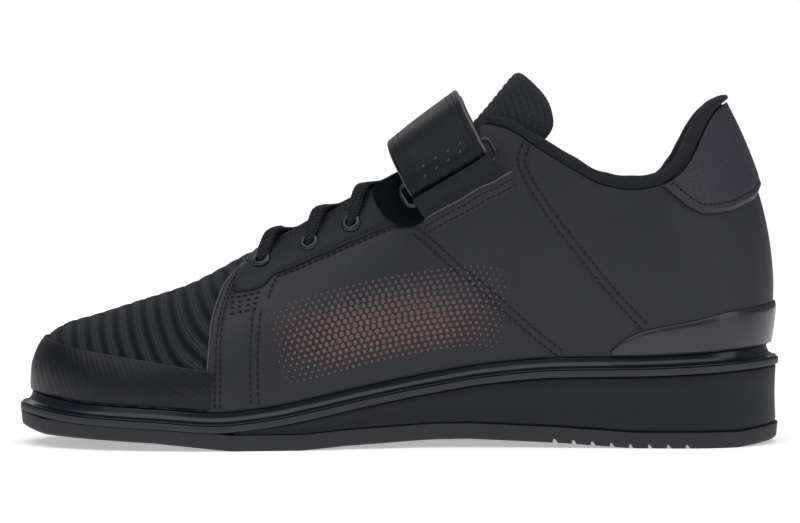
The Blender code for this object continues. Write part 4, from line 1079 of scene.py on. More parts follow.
def front_warp(start, behind, reach):
    """Stations from start on move, less and less, so that start lies behind the front edge."""
    edge = np.array(FRONT_EDGE + [(0.3530, 1.0)])

    def warp(side, u, w):
        shift = smooth(w.ravel(), edge[:, 1], edge[:, 0] + behind - start).reshape(w.shape)
        return u + shift * np.clip(1 - (u - start) / reach, 0, 1) ** 2
    return warp


def quarter_relief(side, u, w, bare):
    """Leather step, minus a narrow sink at each row, plus the swell."""
    rows = np.concatenate([on_leather(side, *line, 0.0)[0] for line in seams[side]])
    away = nearest(bare, rows)
    sink = 0.34 * np.exp(-(away / 0.75) ** 2) + 0.16 * np.exp(-(away / 2.4) ** 2)
    return QUARTER_STEP - sink + swell(side, w, bare)


quarter_u = np.unique(np.concatenate([np.linspace(QUARTER_EDGE + 0.002, 0.62, 150),
                                      np.linspace(0.62, 1.0, 100)]))
quarter = wrapped_sheet("leather_quarter", quarter_u, level(0.0), level(1.0), 92, quarter_relief,
                        leather, warp=front_warp(QUARTER_EDGE, -0.002, 0.06))
quarter.data.materials.append(lining_cloth.material)
thicken(quarter, 2.1, inner_slot=1)
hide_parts("upper")

# %% The leather's paler cut edge at its front, partly a painted highlight
def edge_ribbon(name, side_lines, width, height, finish):
    """A low rounded strip along lines on the leather: across is a half ellipse."""
    angle = np.linspace(0, np.pi, 7)
    points, quads = [], []
    for side, u, w, raised in side_lines:
        line, normal = on_leather(side, u, w, raised)
        along = np.gradient(line, axis=0)
        along = unit(along)
        aside = np.cross(normal, along)
        strip = (line[:, None] + aside[:, None] * np.cos(angle)[None, :, None] * width / 2
                 + normal[:, None] * (np.sin(angle)[None, :, None] * height - 0.25))
        quads.append(sweep_quads(len(u), 7, len(points) * strip[..., 0].size))
        points.append(strip.reshape(-1, 3))
    points = np.concatenate(points)
    return piece_from(name, points, np.concatenate(quads), finish, None, True, True)


front_lines = [(side, *seam_line(side, FRONT_EDGE + [(0.3470, 0.950)], 0.15), 0.35)
               for side in SIDES]
edge_ribbon("quarter_front_edge", front_lines, 0.9, 0.85, lit_cut_edge)

# %% [markdown]
# ## Overlays
#
# The toe film, the eyestays, the heel counter and the heel tab lie on the upper as thin
# separate sheets. They are grids between two lines of w, with their own thickness, so that each
# casts a fine shadow line at its edge.

# %% Edges of the overlays
TOE_CAP_EDGE = np.array([(0.150, 1.000), (0.165, 0.965), (0.180, 0.940), (0.210, 0.900),
                         (0.240, 0.860), (0.270, 0.820), (0.300, 0.775), (0.330, 0.730),
                         (0.340, 0.714)])
COUNTER_LOW, COUNTER_HIGH = 1.15, 1.75
COUNTER_EDGE = np.array([(0.680, 0.655), (0.700, 0.755), (0.722, 0.813), (0.797, 0.895),
                         (0.850, 0.944), (1.000, 1.000)])
TAB_FRONT = 0.784
TAB_EDGE = np.array([(TAB_FRONT, 0.772), (0.795, 0.757), (0.810, 0.732), (0.835, 0.697),
                     (0.861, 0.682), (0.900, 0.687), (0.950, 0.712), (1.000, 0.752)])


def edge_at(table, height, front=None):
    """w of a table's line of heights. Ahead of front the line is the ridge itself."""
    def line(side, u):
        w = at_height(side, u, along_table(u, table, 1) * height)
        return w if front is None else np.where(u <= front + 0.001, 1.0, w)
    return line


def film_relief(side, u, w, bare):
    """The ribs under the film show through it. Its rear end lies over the leather's edge."""
    over = 0.30 * np.clip((u - 0.312) / 0.015, 0, 1)
    return 0.62 + over + 0.02 * np.sin(2 * np.pi * rib_phase(side, u, w, bare))


film_u = np.concatenate([np.linspace(0.0, 0.150, 70), np.linspace(0.150, 0.339, 136)[1:]])
film = wrapped_sheet("toe_film", film_u, level(0.012), edge_at(TOE_CAP_EDGE, 41.3, 0.150), 34,
                     film_relief, toe_film, chart=knit_chart)
thicken(film, 0.45, 1.0)
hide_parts("toe_cap")


def counter_relief(side, u, w, bare):
    """Full height, easing down to the edge's over the last part of the rows."""
    share = (w - w[0]) / np.maximum(w[-1] - w[0], 1e-6)
    rim_share = np.clip((1 - share) / 0.16, 0, 1)
    return COUNTER_LOW + (COUNTER_HIGH - COUNTER_LOW) * np.sin(rim_share * np.pi / 2)


counter_u = np.concatenate([np.linspace(0.684, 0.74, 24), np.linspace(0.74, 1.0, 80)[1:]])
heel_cup = wrapped_sheet("heel_counter", counter_u, level(0.010), edge_at(COUNTER_EDGE, 55.5), 30,
                         counter_relief, counter)
thicken(heel_cup, 0.5, 1.0)
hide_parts("heel_counter")

# %% Heel tab with its stitch line and punched holes
tab_u = np.concatenate([np.linspace(TAB_FRONT, 0.84, 34), np.linspace(0.84, 1.0, 90)[1:]])


def tab_share(side, u, w):
    low_w = edge_at(TAB_EDGE, HEEL_HEIGHT)(side, u)
    return low_w + (0.985 - low_w) * w


TAB_STITCH = np.array([(0.799, 4.4), (0.820, 4.4), (0.845, 3.4), (0.880, 3.0), (1.000, 3.0)])


def tab_line(side, rows, count=160):
    """Rows hold u and the rise over the tab's lower edge in mm, turned into u and w here."""
    u = np.linspace(rows[0, 0], rows[-1, 0], count)
    height = along_table(u, TAB_EDGE, 1) * HEEL_HEIGHT + along_table(u, rows, 1)
    return u, np.minimum(at_height(side, u, height), 0.975)


def tab_relief(side, u, w, bare):
    line, _ = on_leather(side, *tab_line(side, TAB_STITCH), 0.0)
    away = nearest(bare, line)
    share = (w - w[0]) / (w[-1] - w[0])
    border = np.clip(np.minimum(share / 0.05, (u - TAB_FRONT) / 0.006), 0, 1)
    return 1.5 + 1.2 * np.sin(border * np.pi / 2) - 0.35 * np.exp(-(away / 0.8) ** 2)


tab = wrapped_sheet("heel_tab", tab_u, edge_at(TAB_EDGE, HEEL_HEIGHT), level(0.993), 60,
                    tab_relief, tab_leather)
thicken(tab, 0.5, 1.0)
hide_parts("heel_tab")
tab_rows = [on_leather(side, *tab_line(side, TAB_STITCH), 3.0) for side in SIDES]
sew("tab_stitches", tab_rows, thread, 2.3)

# %% Eyestays with their stitch rows
STAY_FRONT, STAY_REAR = 0.345, 0.556
STAY_FOOT = np.array([(0.3380, 0.598), (0.3560, 0.612), (0.3700, 0.630), (0.3745, 0.648),
                      (0.3780, 0.680), (0.3813, 0.698), (0.3994, 0.705), (0.4163, 0.713),
                      (0.4569, 0.715), (0.4956, 0.712), (0.5600, 0.735)])
stay_u = np.linspace(STAY_FRONT, STAY_REAR, 150)


def stay_low(side, u):
    return along_table(u, STAY_FOOT, 1)


def stay_relief(side, u, w, bare):
    """Leather laid over leather: thin at its lower edge, thicker above, sunk at the top rows."""
    rise, fall = lengths(bare, 0), lengths(bare[::-1], 0)[::-1]
    rows = 0.20 * np.exp(-((fall - 1.9) / 0.6) ** 2) + 0.15 * np.exp(-((fall - 3.8) / 0.6) ** 2)
    swollen = 0.05 + 0.70 * np.sin(np.clip(rise / 4.0, 0, 1) * np.pi / 2)
    return QUARTER_STEP + swell(side, w, bare) + swollen - rows


for side, word in SIDE_WORDS:
    stay = wrapped_sheet(f"eyestay_{word}_leather", stay_u, stay_low, level(0.985), 26,
                         stay_relief, stay_leather, sides=(side,),
                         warp=front_warp(STAY_FRONT, 0.0170, 0.08))
    thicken(stay, 0.55, 1.0)
    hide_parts(f"eyestay_{word}")
stay_rows = []
for side in SIDES:
    u = np.linspace(0.372, 0.551, 200)
    stay_rows += [on_leather(side, u, below_top(side, u, fall), 2.15) for fall in (1.9, 3.8)]
    u, w = seam_line(side, STAY_SEAM[3:], 1.3)
    stay_rows.append(on_waves(side, u, w, 0.87))
sew("eyestay_stitches", stay_rows, thread, 2.3)
print("overlays made")

# %% [markdown]
# ## Padded parts: collar and tongue
#
# The collar is a roll of foam in knit that wraps the leather's top edge, and the tongue is a
# thick padded shield that rises through the throat. Neither is a hard shell: each has soft
# dents and a rounded rim. The tongue's knit has fine ribs that wrap round it at a slant.

# %% Collar roll
CUFF_FRONT = 0.563
CUFF_OUTER = np.array([(-0.06, 0.00), (-0.16, 0.30), (-0.10, 0.62), (0.16, 0.90), (0.55, 1.02),
                       (0.98, 0.78), (1.25, 0.22)])
CUFF_INNER = np.array([(1.06, 0.15), (1.02, 0.50), (0.62, 0.86), (0.10, 1.00)])


def cuff_sections(side, u):
    """Closed sections: over the leather's edge, down inside as padding, and back up."""
    size = smooth(u, [CUFF_FRONT, 0.66, 1.0], [0.60, 1.0, 1.0])
    rise = 4.8 * smooth(u, [CUFF_FRONT, 0.62, 0.86, 1.0], [0.75, 1.05, 1.0, 0.60])
    thickness = (5.5 * size)[:, None]
    soft = 1 + 0.035 * np.sin(u * 70) + 0.025 * np.sin(u * 173 + side)
    nose = 0.42 * smooth(u, [CUFF_FRONT, 0.80, 0.90, 1.0], [0, 0, 0.3, 1.0])[:, None]
    edge, normal = on_leather(side, u, np.ones_like(u))
    below, _ = on_leather(side, u, np.full_like(u, 0.97))
    climb = unit(edge - below)
    section = [edge - normal * (inward - nose * (1 - inward)) * thickness
               + climb * (GAP + lift * rise * soft)[:, None] for inward, lift in CUFF_OUTER]
    face = -1.9
    for inward, drop in CUFF_INNER:
        w = below_top(side, u, drop * 24.0)
        section.append(upper_surface(side, u, w, face - inward * thickness[:, 0] * soft)[0])
    section.append(upper_surface(side, u, below_top(side, u, 7.2), face)[0])
    section.append(edge - normal * 2.9 + climb * GAP)
    return np.stack(section, axis=1)


def rounder(sections, count):
    """Each closed section again as many points on a smooth loop, by cubic interpolation."""
    n = sections.shape[1]
    t = np.arange(count) * n / count
    k = np.floor(t).astype(int)
    f = (t - k)[None, :, None]
    a, b, c, d = (sections[:, (k + step) % n] for step in (-1, 0, 1, 2))
    return 0.5 * (2 * b + (c - a) * f + (2 * a - 5 * b + 4 * c - d) * f**2
                  + (3 * b - a - 3 * c + d) * f**3)


cuff_u = np.linspace(CUFF_FRONT, 1.0, 110)
cuff_skin = np.concatenate([cuff_sections(INNER, cuff_u), cuff_sections(OUTER, cuff_u)[-2::-1]])
cuff_skin = rounder(cuff_skin, 36)
cuff_uv = np.stack([lengths(cuff_skin, 0), lengths(cuff_skin, 1)], axis=-1) / 10
cuff = piece_from("collar_roll", cuff_skin, sweep_quads(len(cuff_skin), 36), cuff_knit, cuff_uv,
                  True, True)
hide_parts("collar_cuff")

# %% Tongue
TONGUE_LINE = np.array([
    (0.00, 0.2600, 0.463, 0.21, 45.0),
    (0.10, 0.2987, 0.520, 0.24, 47.0),
    (0.23, 0.3658, 0.600, 0.28, 48.0),
    (0.37, 0.4329, 0.682, 0.30, 50.0),
    (0.52, 0.5000, 0.768, 0.31, 52.0),
    (0.70, 0.5671, 0.884, 0.32, 62.0),
    (0.86, 0.6141, 0.998, 0.34, 96.0),
    (0.95, 0.6400, 1.070, 0.35, 110.0),
    (1.00, 0.6540, 1.108, 0.35, 108.0),
])


def tongue_centre(t):
    x = (along_table(t, TONGUE_LINE, 1) - 0.5) * SOLE_LENGTH
    return x, along_table(t, TONGUE_LINE, 2) * HEEL_HEIGHT


def tongue_surface(t, across, inward=0.0):
    """An arc round the instep at each height, across from -1 to 1, moved inward in mm."""
    t, across = np.broadcast_arrays(np.asarray(t, float), across)
    corner = np.clip((np.abs(across) - 0.55) / 0.45, 0, 1) ** 2.4
    t = t * (1 - 0.05 * np.abs(across) ** 3) - 0.085 * corner * np.clip((t - 0.7) / 0.3, 0, 1) ** 2
    x, z = tongue_centre(t)
    x_next, z_next = tongue_centre(np.minimum(t + 0.01, 1.0))
    x_last, z_last = tongue_centre(np.maximum(t - 0.01, 0.0))
    along = np.stack([x_next - x_last, z_next - z_last])
    along = along / np.linalg.norm(along, axis=0)
    full = along_table(t, TONGUE_LINE, 3) * ANKLE_WIDTH
    radius = full - inward
    angle = np.radians(along_table(t, TONGUE_LINE, 4)) * across
    fall = full - radius * np.cos(angle)
    return np.stack([x + along[1] * fall, radius * np.sin(angle), z - along[0] * fall], axis=-1)


TONGUE_LENGTH, TONGUE_HALF = 130.0, 2.5
TONGUE_RIB = 2.9
rows, columns = 300, 76
tongue_t = np.linspace(0, 1, rows)[:, None]
tongue_across = np.linspace(-1, 1, columns)[None, :]
half_width = np.radians(along_table(tongue_t, TONGUE_LINE, 4)) * 21.0
rib = np.sin(2 * np.pi / TONGUE_RIB * (0.35 * np.abs(tongue_across) * half_width
                                       + TONGUE_LENGTH * tongue_t))
rim_soft = np.clip(np.minimum((1 - np.abs(tongue_across)) * half_width,
                              (1 - tongue_t) * 90.0) / 2.6, 0, 1)
round_off = TONGUE_HALF * (1 - np.sqrt(1 - (1 - rim_soft) ** 2))
waves = 0.35 * np.sin(tongue_t * 19 + tongue_across * 2) * np.sin(tongue_across * 5)
outer_in = (0.19 * (1 - rib) + waves) * rim_soft + round_off
inner_in = 2 * TONGUE_HALF - round_off
outer_face = tongue_surface(tongue_t, tongue_across, outer_in)
inner_face = tongue_surface(tongue_t, tongue_across, inner_in)
tongue_uv = np.stack([np.broadcast_to(tongue_across * half_width, (rows, columns)),
                      np.broadcast_to(tongue_t * TONGUE_LENGTH, (rows, columns))], -1) / 10
tongue_points = np.concatenate([outer_face.reshape(-1, 3), inner_face.reshape(-1, 3)])
size = rows * columns
border = np.concatenate([np.arange(columns), np.arange(1, rows) * columns + columns - 1,
                         size - 2 - np.arange(columns - 1),
                         np.arange(rows - 2, 0, -1) * columns])
rim_quads = np.stack([border, np.roll(border, -1), np.roll(border, -1) + size, border + size], -1)
tongue_quads = np.concatenate([grid_quads(rows, columns), rim_quads,
                               grid_quads(rows, columns, size, True)])
tongue = piece_from("padded_tongue", tongue_points, tongue_quads, tongue_knit,
                    np.concatenate([tongue_uv.reshape(-1, 2)] * 2), True, True)
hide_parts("tongue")

# %% [markdown]
# ## Eyelets and lace
#
# Each eyelet is a small moulded ring. The lace is a flat braid that comes up out of a ring,
# bulges over the eyestay, crosses to the other side and dives under it. It is one section
# carried along a path, and it is squeezed narrow where the ring holds it.

# %% Eyelets
EYELET_U = np.array([0.363, 0.411, 0.447, 0.482])
EYELET_FALL = np.array([12.5, 11.8, 12.0, 9.0])


def eyelet_seat(side, index):
    u = EYELET_U[index:index + 1]
    w = below_top(side, u, EYELET_FALL[index])
    point, normal = upper_surface(side, u, w, QUARTER_STEP + 1.3)
    return point[0], normal[0]


ring_profile = np.array([(1.90, -3.0), (1.90, 0.6), (2.15, 1.02), (2.60, 1.20), (3.10, 1.12),
                         (3.60, 0.80), (3.88, 0.42), (3.90, 0.10), (2.40, 0.05), (2.40, -3.0)])
for side, word in SIDE_WORDS:
    for index in range(len(EYELET_U)):
        seat, normal = eyelet_seat(side, index)
        flat_x = np.cross(normal, [0.0, 0.0, 1.0])
        flat_x = unit(flat_x)
        flat_y = np.cross(normal, flat_x)
        angle = np.linspace(0, 2 * np.pi, 40, endpoint=False)[:, None, None]
        radius, height = ring_profile[None, :, 0, None], ring_profile[None, :, 1, None]
        points = (seat + flat_x * np.cos(angle) * radius + flat_y * np.sin(angle) * radius
                  + normal * height)
        eyelet = piece_from(f"eyelet_{word}_{index + 1}_ring", points,
                            grid_quads(40, len(ring_profile), 0, False, True, True),
                            eyelet_gloss, None, True, True)
        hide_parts(f"eyelet_{word}_{index + 1}")


# %% One strand of the lace
LACE_WIDTH, LACE_HEIGHT = 2.75, 1.2
LACE_STEPS, LACE_AROUND = 90, 20


def lace_path(side, index, lift):
    """Places on the strand: under the ring, through it, over the edge, mid tongue, far edge."""
    seat, normal = eyelet_seat(side, index)
    u_low, u_high = EYELET_U[index], EYELET_U[index + 1]
    edge, edge_normal = on_leather(side, 0.75 * u_low + 0.25 * u_high, 1.0)
    over = edge + edge_normal * 2.9 + np.array([0.0, -side * 0.7, 0.7])
    far, _ = on_leather(-side, u_high, 1.0)
    near, _ = on_leather(side, u_low, 1.0)
    middle_x = (far[0] + near[0]) / 2
    x_line, z_line = tongue_centre(np.linspace(0, 1, 80))
    middle = np.array([middle_x, 0.0, np.interp(middle_x, x_line, z_line) + lift])
    end = far + np.array([-0.8, side * 3.4, -0.4])
    rest = seat + (over - seat) * 0.34 + normal * 1.1
    stops = np.array([seat - normal * 3.0, seat + normal * 0.5, rest, over, middle, end])
    up = np.array([[0.2, 0, 1.0], [0.2, 0, 1.0], [0.2, 0, 1.0], edge_normal,
                   [-0.5, 0, 0.86], [-0.5, 0, 0.86]])
    t = np.array([0.0, 0.11, 0.25, 0.46, 0.74, 1.0])
    return stops, up, t


def lace_skin(side, index, lift):
    """A flat oval, width * cos and height * sin to a soft power, with braid bumps."""
    stops, up, t = lace_path(side, index, lift)
    fine = np.linspace(0, 1, LACE_STEPS)
    path = each_column(smooth, fine, t, stops)
    ups = each_column(np.interp, fine, t, up)
    width = np.interp(fine, t, [0.50, 0.56, 0.90, 1.04, 1.0, 0.95]) * LACE_WIDTH
    height = np.interp(fine, t, [0.95, 1.0, 1.1, 1.15, 1.1, 1.0]) * LACE_HEIGHT
    along = np.gradient(path, axis=0)
    along = unit(along)
    across = np.cross(along, ups)
    across = unit(across)
    ups = np.cross(across, along)
    angle = np.linspace(0, 2 * np.pi, LACE_AROUND, endpoint=False)[None, :]
    run = lengths(path, 0)
    braid = 1 + 0.055 * np.sin(run[:, None] * 3.4 + 2 * angle) * np.cos(3 * angle)
    c = np.sign(np.cos(angle)) * np.abs(np.cos(angle)) ** 0.75 * width[:, None] * braid
    s = np.sign(np.sin(angle)) * np.abs(np.sin(angle)) ** 0.85 * height[:, None] * braid
    points = path[:, None] + across[:, None] * c[..., None] + ups[:, None] * s[..., None]
    uv = np.stack([np.broadcast_to(angle * 1.3, c.shape),
                   np.broadcast_to(run[:, None], c.shape)], axis=-1) / 10
    return points, uv


for index in range(len(EYELET_U) - 1):
    parts = [lace_skin(INNER, index, 4.9), lace_skin(OUTER, index, 3.2)]
    points = np.concatenate([part.reshape(-1, 3) for part, _ in parts])
    uv = np.concatenate([part.reshape(-1, 2) for _, part in parts])
    base = sweep_quads(LACE_STEPS, LACE_AROUND)
    quads = np.concatenate([base, base + LACE_STEPS * LACE_AROUND])
    lace = piece_from(f"lace_{index + 1}", points, quads,
                      lace_braid, uv, True, True)
    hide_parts(f"lace_crossing_{index + 1}")
print("lace crossings:", len(EYELET_U) - 1)

# %% [markdown]
# ## The instep strap
#
# A leather strap starts in a slot on the far side, crosses the instep, turns round one bar of a
# metal ring and lies back on itself. Ribbed webbing holds the ring's other bar to a slot on
# this side. Straps are flat bands, so each is a rounded rectangle carried along a path, with
# its own across direction at every step.


# %% Where the strap, ring and slots are
def wall_point(side, x_share, height_share):
    """The place on the leather that is nearest in side view, from a fine grid of it."""
    u, w = np.meshgrid(np.linspace(0.45, 0.65, 81), np.linspace(0.5, 1.0, 81))
    points, normals = on_leather(side, u, w)
    miss = np.hypot(points[..., 0] - (x_share - 0.5) * SOLE_LENGTH,
                    points[..., 2] - height_share * HEEL_HEIGHT)
    best = np.unravel_index(np.argmin(miss), miss.shape)
    return points[best], normals[best]


def side_frame(side, x_share, height_share, slope=29.5):
    """Point, outward normal, axis along the ring, and direction down the wall."""
    point, normal = wall_point(side, x_share, height_share)
    along = np.array([np.cos(np.radians(slope)), 0.0, np.sin(np.radians(slope))])
    along = along - normal * np.dot(along, normal)
    along = unit(along)
    return point, normal, along, np.cross(along, normal) * -side


def bezier(points, t):
    t = np.asarray(t, float)[:, None]
    a, b, c, d = points
    return (1 - t) ** 3 * a + 3 * (1 - t) ** 2 * t * b + 3 * (1 - t) * t**2 * c + t**3 * d


def band_frame(centres, across):
    along = np.gradient(centres, axis=0)
    along = unit(along)
    across = across - along * np.sum(across * along, axis=1, keepdims=True)
    across = unit(across)
    return across, np.cross(along, across)


RING_LONG, RING_SHORT, RING_BAR, RING_STANDS = 41.0, 10.6, 1.5, 7.4
STRAP_WIDTH, STRAP_THICK, WEB_THICK = 34.0, 2.0, 1.4
ring_point, ring_normal, ring_along, ring_down = side_frame(INNER, 0.5682, 0.786)
ring_middle = ring_point + ring_normal * RING_STANDS
bar_reach = (RING_SHORT - RING_BAR) / 2
upper_bar = ring_middle - ring_down * bar_reach
lower_bar = ring_middle + ring_down * bar_reach
WRAP = RING_BAR / 2 + GAP + STRAP_THICK / 2


def strap_layer(q):
    """Middle of the lower layer: from the far slot (-1) over the crest (0) to the ring (1)."""
    crest = np.array([(0.5350 - 0.5) * SOLE_LENGTH, 0.0, 0.950 * HEEL_HEIGHT])
    near_end = upper_bar - ring_normal * WRAP
    near = bezier((crest, crest + np.array([0.0, -20.0, 0.0]), near_end - ring_down * 12.0,
                   near_end), np.clip(q, 0, 1))
    slot, slot_normal, _, slot_down = side_frame(OUTER, 0.5886, 0.726)
    far_end = slot + slot_normal * 1.6
    far = bezier((crest, crest + np.array([0.0, 20.0, 0.0]),
                  far_end - slot_down * 14.0 + slot_normal * 7.0, far_end), np.clip(-q, 0, 1))
    slope = np.radians(37.6 + (29.5 - 37.6) * np.abs(q))
    across = np.stack([np.cos(slope), np.zeros_like(q), np.sin(slope)], axis=-1)
    across = np.where(q[:, None] > 0.999, ring_along, across)
    return np.where(q[:, None] > 0, near, far), across


q = np.linspace(-1, 1, 121)
centres, across = strap_layer(q)
across, normals = band_frame(centres, across)
turn = np.radians(np.linspace(0, 180, 25)[1:-1])[:, None]
around = (upper_bar + ring_down * 4.6 * np.sin(turn) - ring_normal * WRAP * np.cos(turn))
around_normals = ring_normal * np.cos(turn) - ring_down * np.sin(turn)
back = q[::-1] > -0.42
spread = np.interp(q, [0.3, 1.0], [2.5, 2 * WRAP])
over = (centres + normals * spread[:, None])[::-1][back]
strap_path = np.concatenate([centres, around, over])
strap_across = np.concatenate([across, np.broadcast_to(ring_along, around.shape),
                               across[::-1][back]])
strap_faces = np.concatenate([normals, around_normals, -normals[::-1][back]])
strap_run = lengths(strap_path, 0)
print("strap length, mm:", round(float(strap_run[-1]), 1))


# %% Bands with a finer section
def band(name, path, across, faces, width, thickness, finish, side_count=40, relief=None):
    """Section: the top face from edge to edge, a round edge, the back face, a round edge.
    Relief is a function of run and place across, in mm, that moves the top face."""
    half, edge = width / 2, thickness / 2
    corner = 0.45 * thickness
    a_top = np.linspace(-half + corner, half - corner, side_count)
    turn = np.linspace(np.pi / 2, -np.pi / 2, 7)[1:-1]
    a_right = half - corner + corner * np.cos(turn)
    n_right = edge * np.sin(turn)
    a = np.concatenate([a_top, a_right, a_top[::-1], -a_right[::-1]])
    n = np.concatenate([np.full(side_count, edge), n_right, np.full(side_count, -edge),
                        n_right[::-1]])
    run = lengths(path, 0)
    lift = np.zeros((len(path), len(a)))
    if relief:
        lift[:, :side_count] = relief(run[:, None], a_top[None, :])
        lift[:, side_count + 5:2 * side_count + 5] = -relief(run[:, None], a_top[::-1][None, :])
    points = (path[:, None] + across[:, None] * a[None, :, None]
              + faces[:, None] * (n[None, :] + lift)[..., None])
    uv = np.stack([np.broadcast_to(a[None, :], lift.shape),
                   np.broadcast_to(run[:, None], lift.shape)], axis=-1) / 10
    quads = sweep_quads(len(path), len(a))
    return piece_from(name, points, quads, finish, uv, False, True), len(a)


def strap_relief(run, a):
    """A faint crown, a sink at both stitch rows, and soft creases across the band."""
    sink = (np.exp(-((np.abs(a) - 13.9) / 0.7) ** 2)
            + 0.7 * np.exp(-((np.abs(a) - 11.6) / 0.7) ** 2))
    return 0.25 * np.cos(a / 17.0 * np.pi / 2) - 0.13 * sink + 0.07 * np.sin(run / 3.1 + a / 6.0)


strap, strap_count = band("instep_strap", strap_path, strap_across, strap_faces, STRAP_WIDTH,
                          STRAP_THICK, strap_leather, 40, strap_relief)
strap.data.materials.append(lit_cut_edge.material)
strap.data.materials.append(hook_cloth.material)
column_of_face = np.tile(np.arange(strap_count), len(strap_path) - 1)
face_kind = np.zeros(len(strap.data.polygons), int)
# The strap's rounded side edges take the pale edge finish, a painted highlight along the edge
# paint.
cut = ((column_of_face >= 41) & (column_of_face < 45)) | (column_of_face >= 85)
face_kind[:len(column_of_face)][cut] = 1
row_of_face = np.repeat(np.arange(len(strap_path) - 1), strap_count)
hooks = (column_of_face < 39) & (row_of_face > np.argmax(q > -0.40))
face_kind[:len(column_of_face)][hooks] = 2
strap.data.polygons.foreach_set("material_index", face_kind)
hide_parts("strap")


# %% Strap stitches and punched holes
def on_strap(run, a, lift):
    """A place over the outer face of the strap's top layer, by run and across, in mm."""
    lift = lift + STRAP_THICK / 2 + strap_relief(run, a)
    path, aside, face = (each_column(np.interp, run, strap_run, table)
                         for table in (strap_path, strap_across, strap_faces))
    face = -unit(face)
    return path + aside * np.asarray(a)[..., None] + face * np.asarray(lift)[..., None], face


fold_run = strap_run[len(q) + len(around)]
end_run = strap_run[-1]
strap_rows = []
for a in (-14.0, -11.7, 11.7, 14.0):
    run = np.linspace(fold_run - 1.0, end_run - 4.0, 300)
    strap_rows.append(on_strap(run, np.full(300, a), 0.02))
for back_off in (4.0, 6.4):
    a = np.linspace(-13.5, 13.5, 80)
    strap_rows.append(on_strap(np.full(80, end_run - back_off), a, 0.02))
sew("strap_stitches", strap_rows, thread, 2.1, radius=0.22)


def discs(name, centres, ups, radius, finish, sides=10, dome=0.12, sink=0.1):
    """Low round domes: a rim sunk in the surface and a middle that stands over it."""
    guide = np.where(np.abs(ups[:, 2:3]) > 0.9, [1.0, 0.0, 0.0], [0.0, 0.0, 1.0])
    x = np.cross(guide, ups)
    x = unit(x)
    y = np.cross(ups, x)
    angle = np.linspace(0, 2 * np.pi, sides, endpoint=False)[None, :, None]
    radius = np.broadcast_to(radius, len(centres))[:, None, None]
    turned = x[:, None] * np.cos(angle) + y[:, None] * np.sin(angle)
    rim = centres[:, None] + turned * radius - ups[:, None] * sink
    lip = centres[:, None] + turned * radius * 0.86 + ups[:, None] * dome
    flat = centres[:, None] + turned * 0.0 + ups[:, None] * dome * 1.1
    points = np.stack([rim, lip, flat], axis=1)
    base = grid_quads(3, sides, wrap_columns=True)
    quads = base[None] + (np.arange(len(centres)) * 3 * sides)[:, None, None]
    return piece_from(name, points, quads, finish, None, True)


run, a = np.meshgrid(fold_run + np.array([-1.6, 1.7]), np.arange(4) * 5.5 - 8.5)
run = run + (a + 8.5) * 0.07
a = a + np.array([0.0, 1.2])
hole_points, hole_ups = on_strap(run.ravel(), a.ravel(), 0.05)
# Each hole is a pale disc, a painted highlight on its lip, under a dark disc of painted shade set
# off its middle, so the highlight shows on one side.
discs("strap_hole_lit_rims", hole_points, hole_ups, 0.62, lit_cut_edge, dome=0.06)
discs("strap_hole_shade", hole_points + [-0.16, 0.0, 0.12], hole_ups, 0.46, hole_shade,
      dome=0.14)

# %% Holes in the heel tab
tab_points, tab_ups = [], []
for side in SIDES:
    for number, u in enumerate(np.linspace(0.842, 0.985, 10)):
        share = np.arange(0.22, 0.93, 0.105) + (0.0525 if number % 2 else 0.0)
        point, up = on_leather(side, np.full(share.shape, u),
                               tab_share(side, np.full(share.shape, u), share), 3.17)
        tab_points.append(point)
        tab_ups.append(up)
tab_points, tab_ups = np.concatenate(tab_points), np.concatenate(tab_ups)
# Each hole is a pale disc, a painted highlight on its lip, under a dark disc of painted shade set
# off its middle, so the highlight shows on one side.
discs("tab_hole_lit_rims", tab_points, tab_ups, 0.46, lit_cut_edge, 8, dome=0.06)
discs("tab_hole_shade", tab_points + [0.10, 0.0, 0.14], tab_ups, 0.36, hole_shade,
      8, dome=0.13)

# %% Webbing loop
loop = RING_BAR / 2 + GAP + WEB_THICK / 2
turn = np.radians(np.linspace(38.0, 225.0, 60))[:, None]
around = lower_bar - loop * (ring_down * np.sin(turn) + ring_normal * np.cos(turn))
slot, slot_normal, _, slot_down = side_frame(INNER, 0.5886, 0.726)
slot_end = slot - ring_along * np.dot(slot - lower_bar, ring_along) - slot_down * 1.3
inner_end = slot_end - slot_normal * 1.8
outer_end = slot_end - slot_normal * 0.1
inner = inner_end + (around[0] - inner_end) * np.linspace(0, 1, 14)[:-1, None]
outer = around[-1] + (outer_end - around[-1]) * np.linspace(0, 1, 130)[1:, None]
web_path = np.concatenate([inner, around, outer])
web_across, web_faces = band_frame(web_path, np.broadcast_to(ring_along, web_path.shape))


def web_relief(run, a):
    """Fine cords across the band, one each 0.85 mm, and a finer weave along them."""
    return (0.20 * np.abs(np.sin(run / 0.85 * np.pi)) ** 0.7 - 0.12
            + 0.02 * np.sin(a * 2 * np.pi / 1.6))


webbing, _ = band("ribbed_webbing", web_path, web_across, web_faces, STRAP_WIDTH, WEB_THICK,
                  webbing_yarn, 64, web_relief)
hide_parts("webbing")

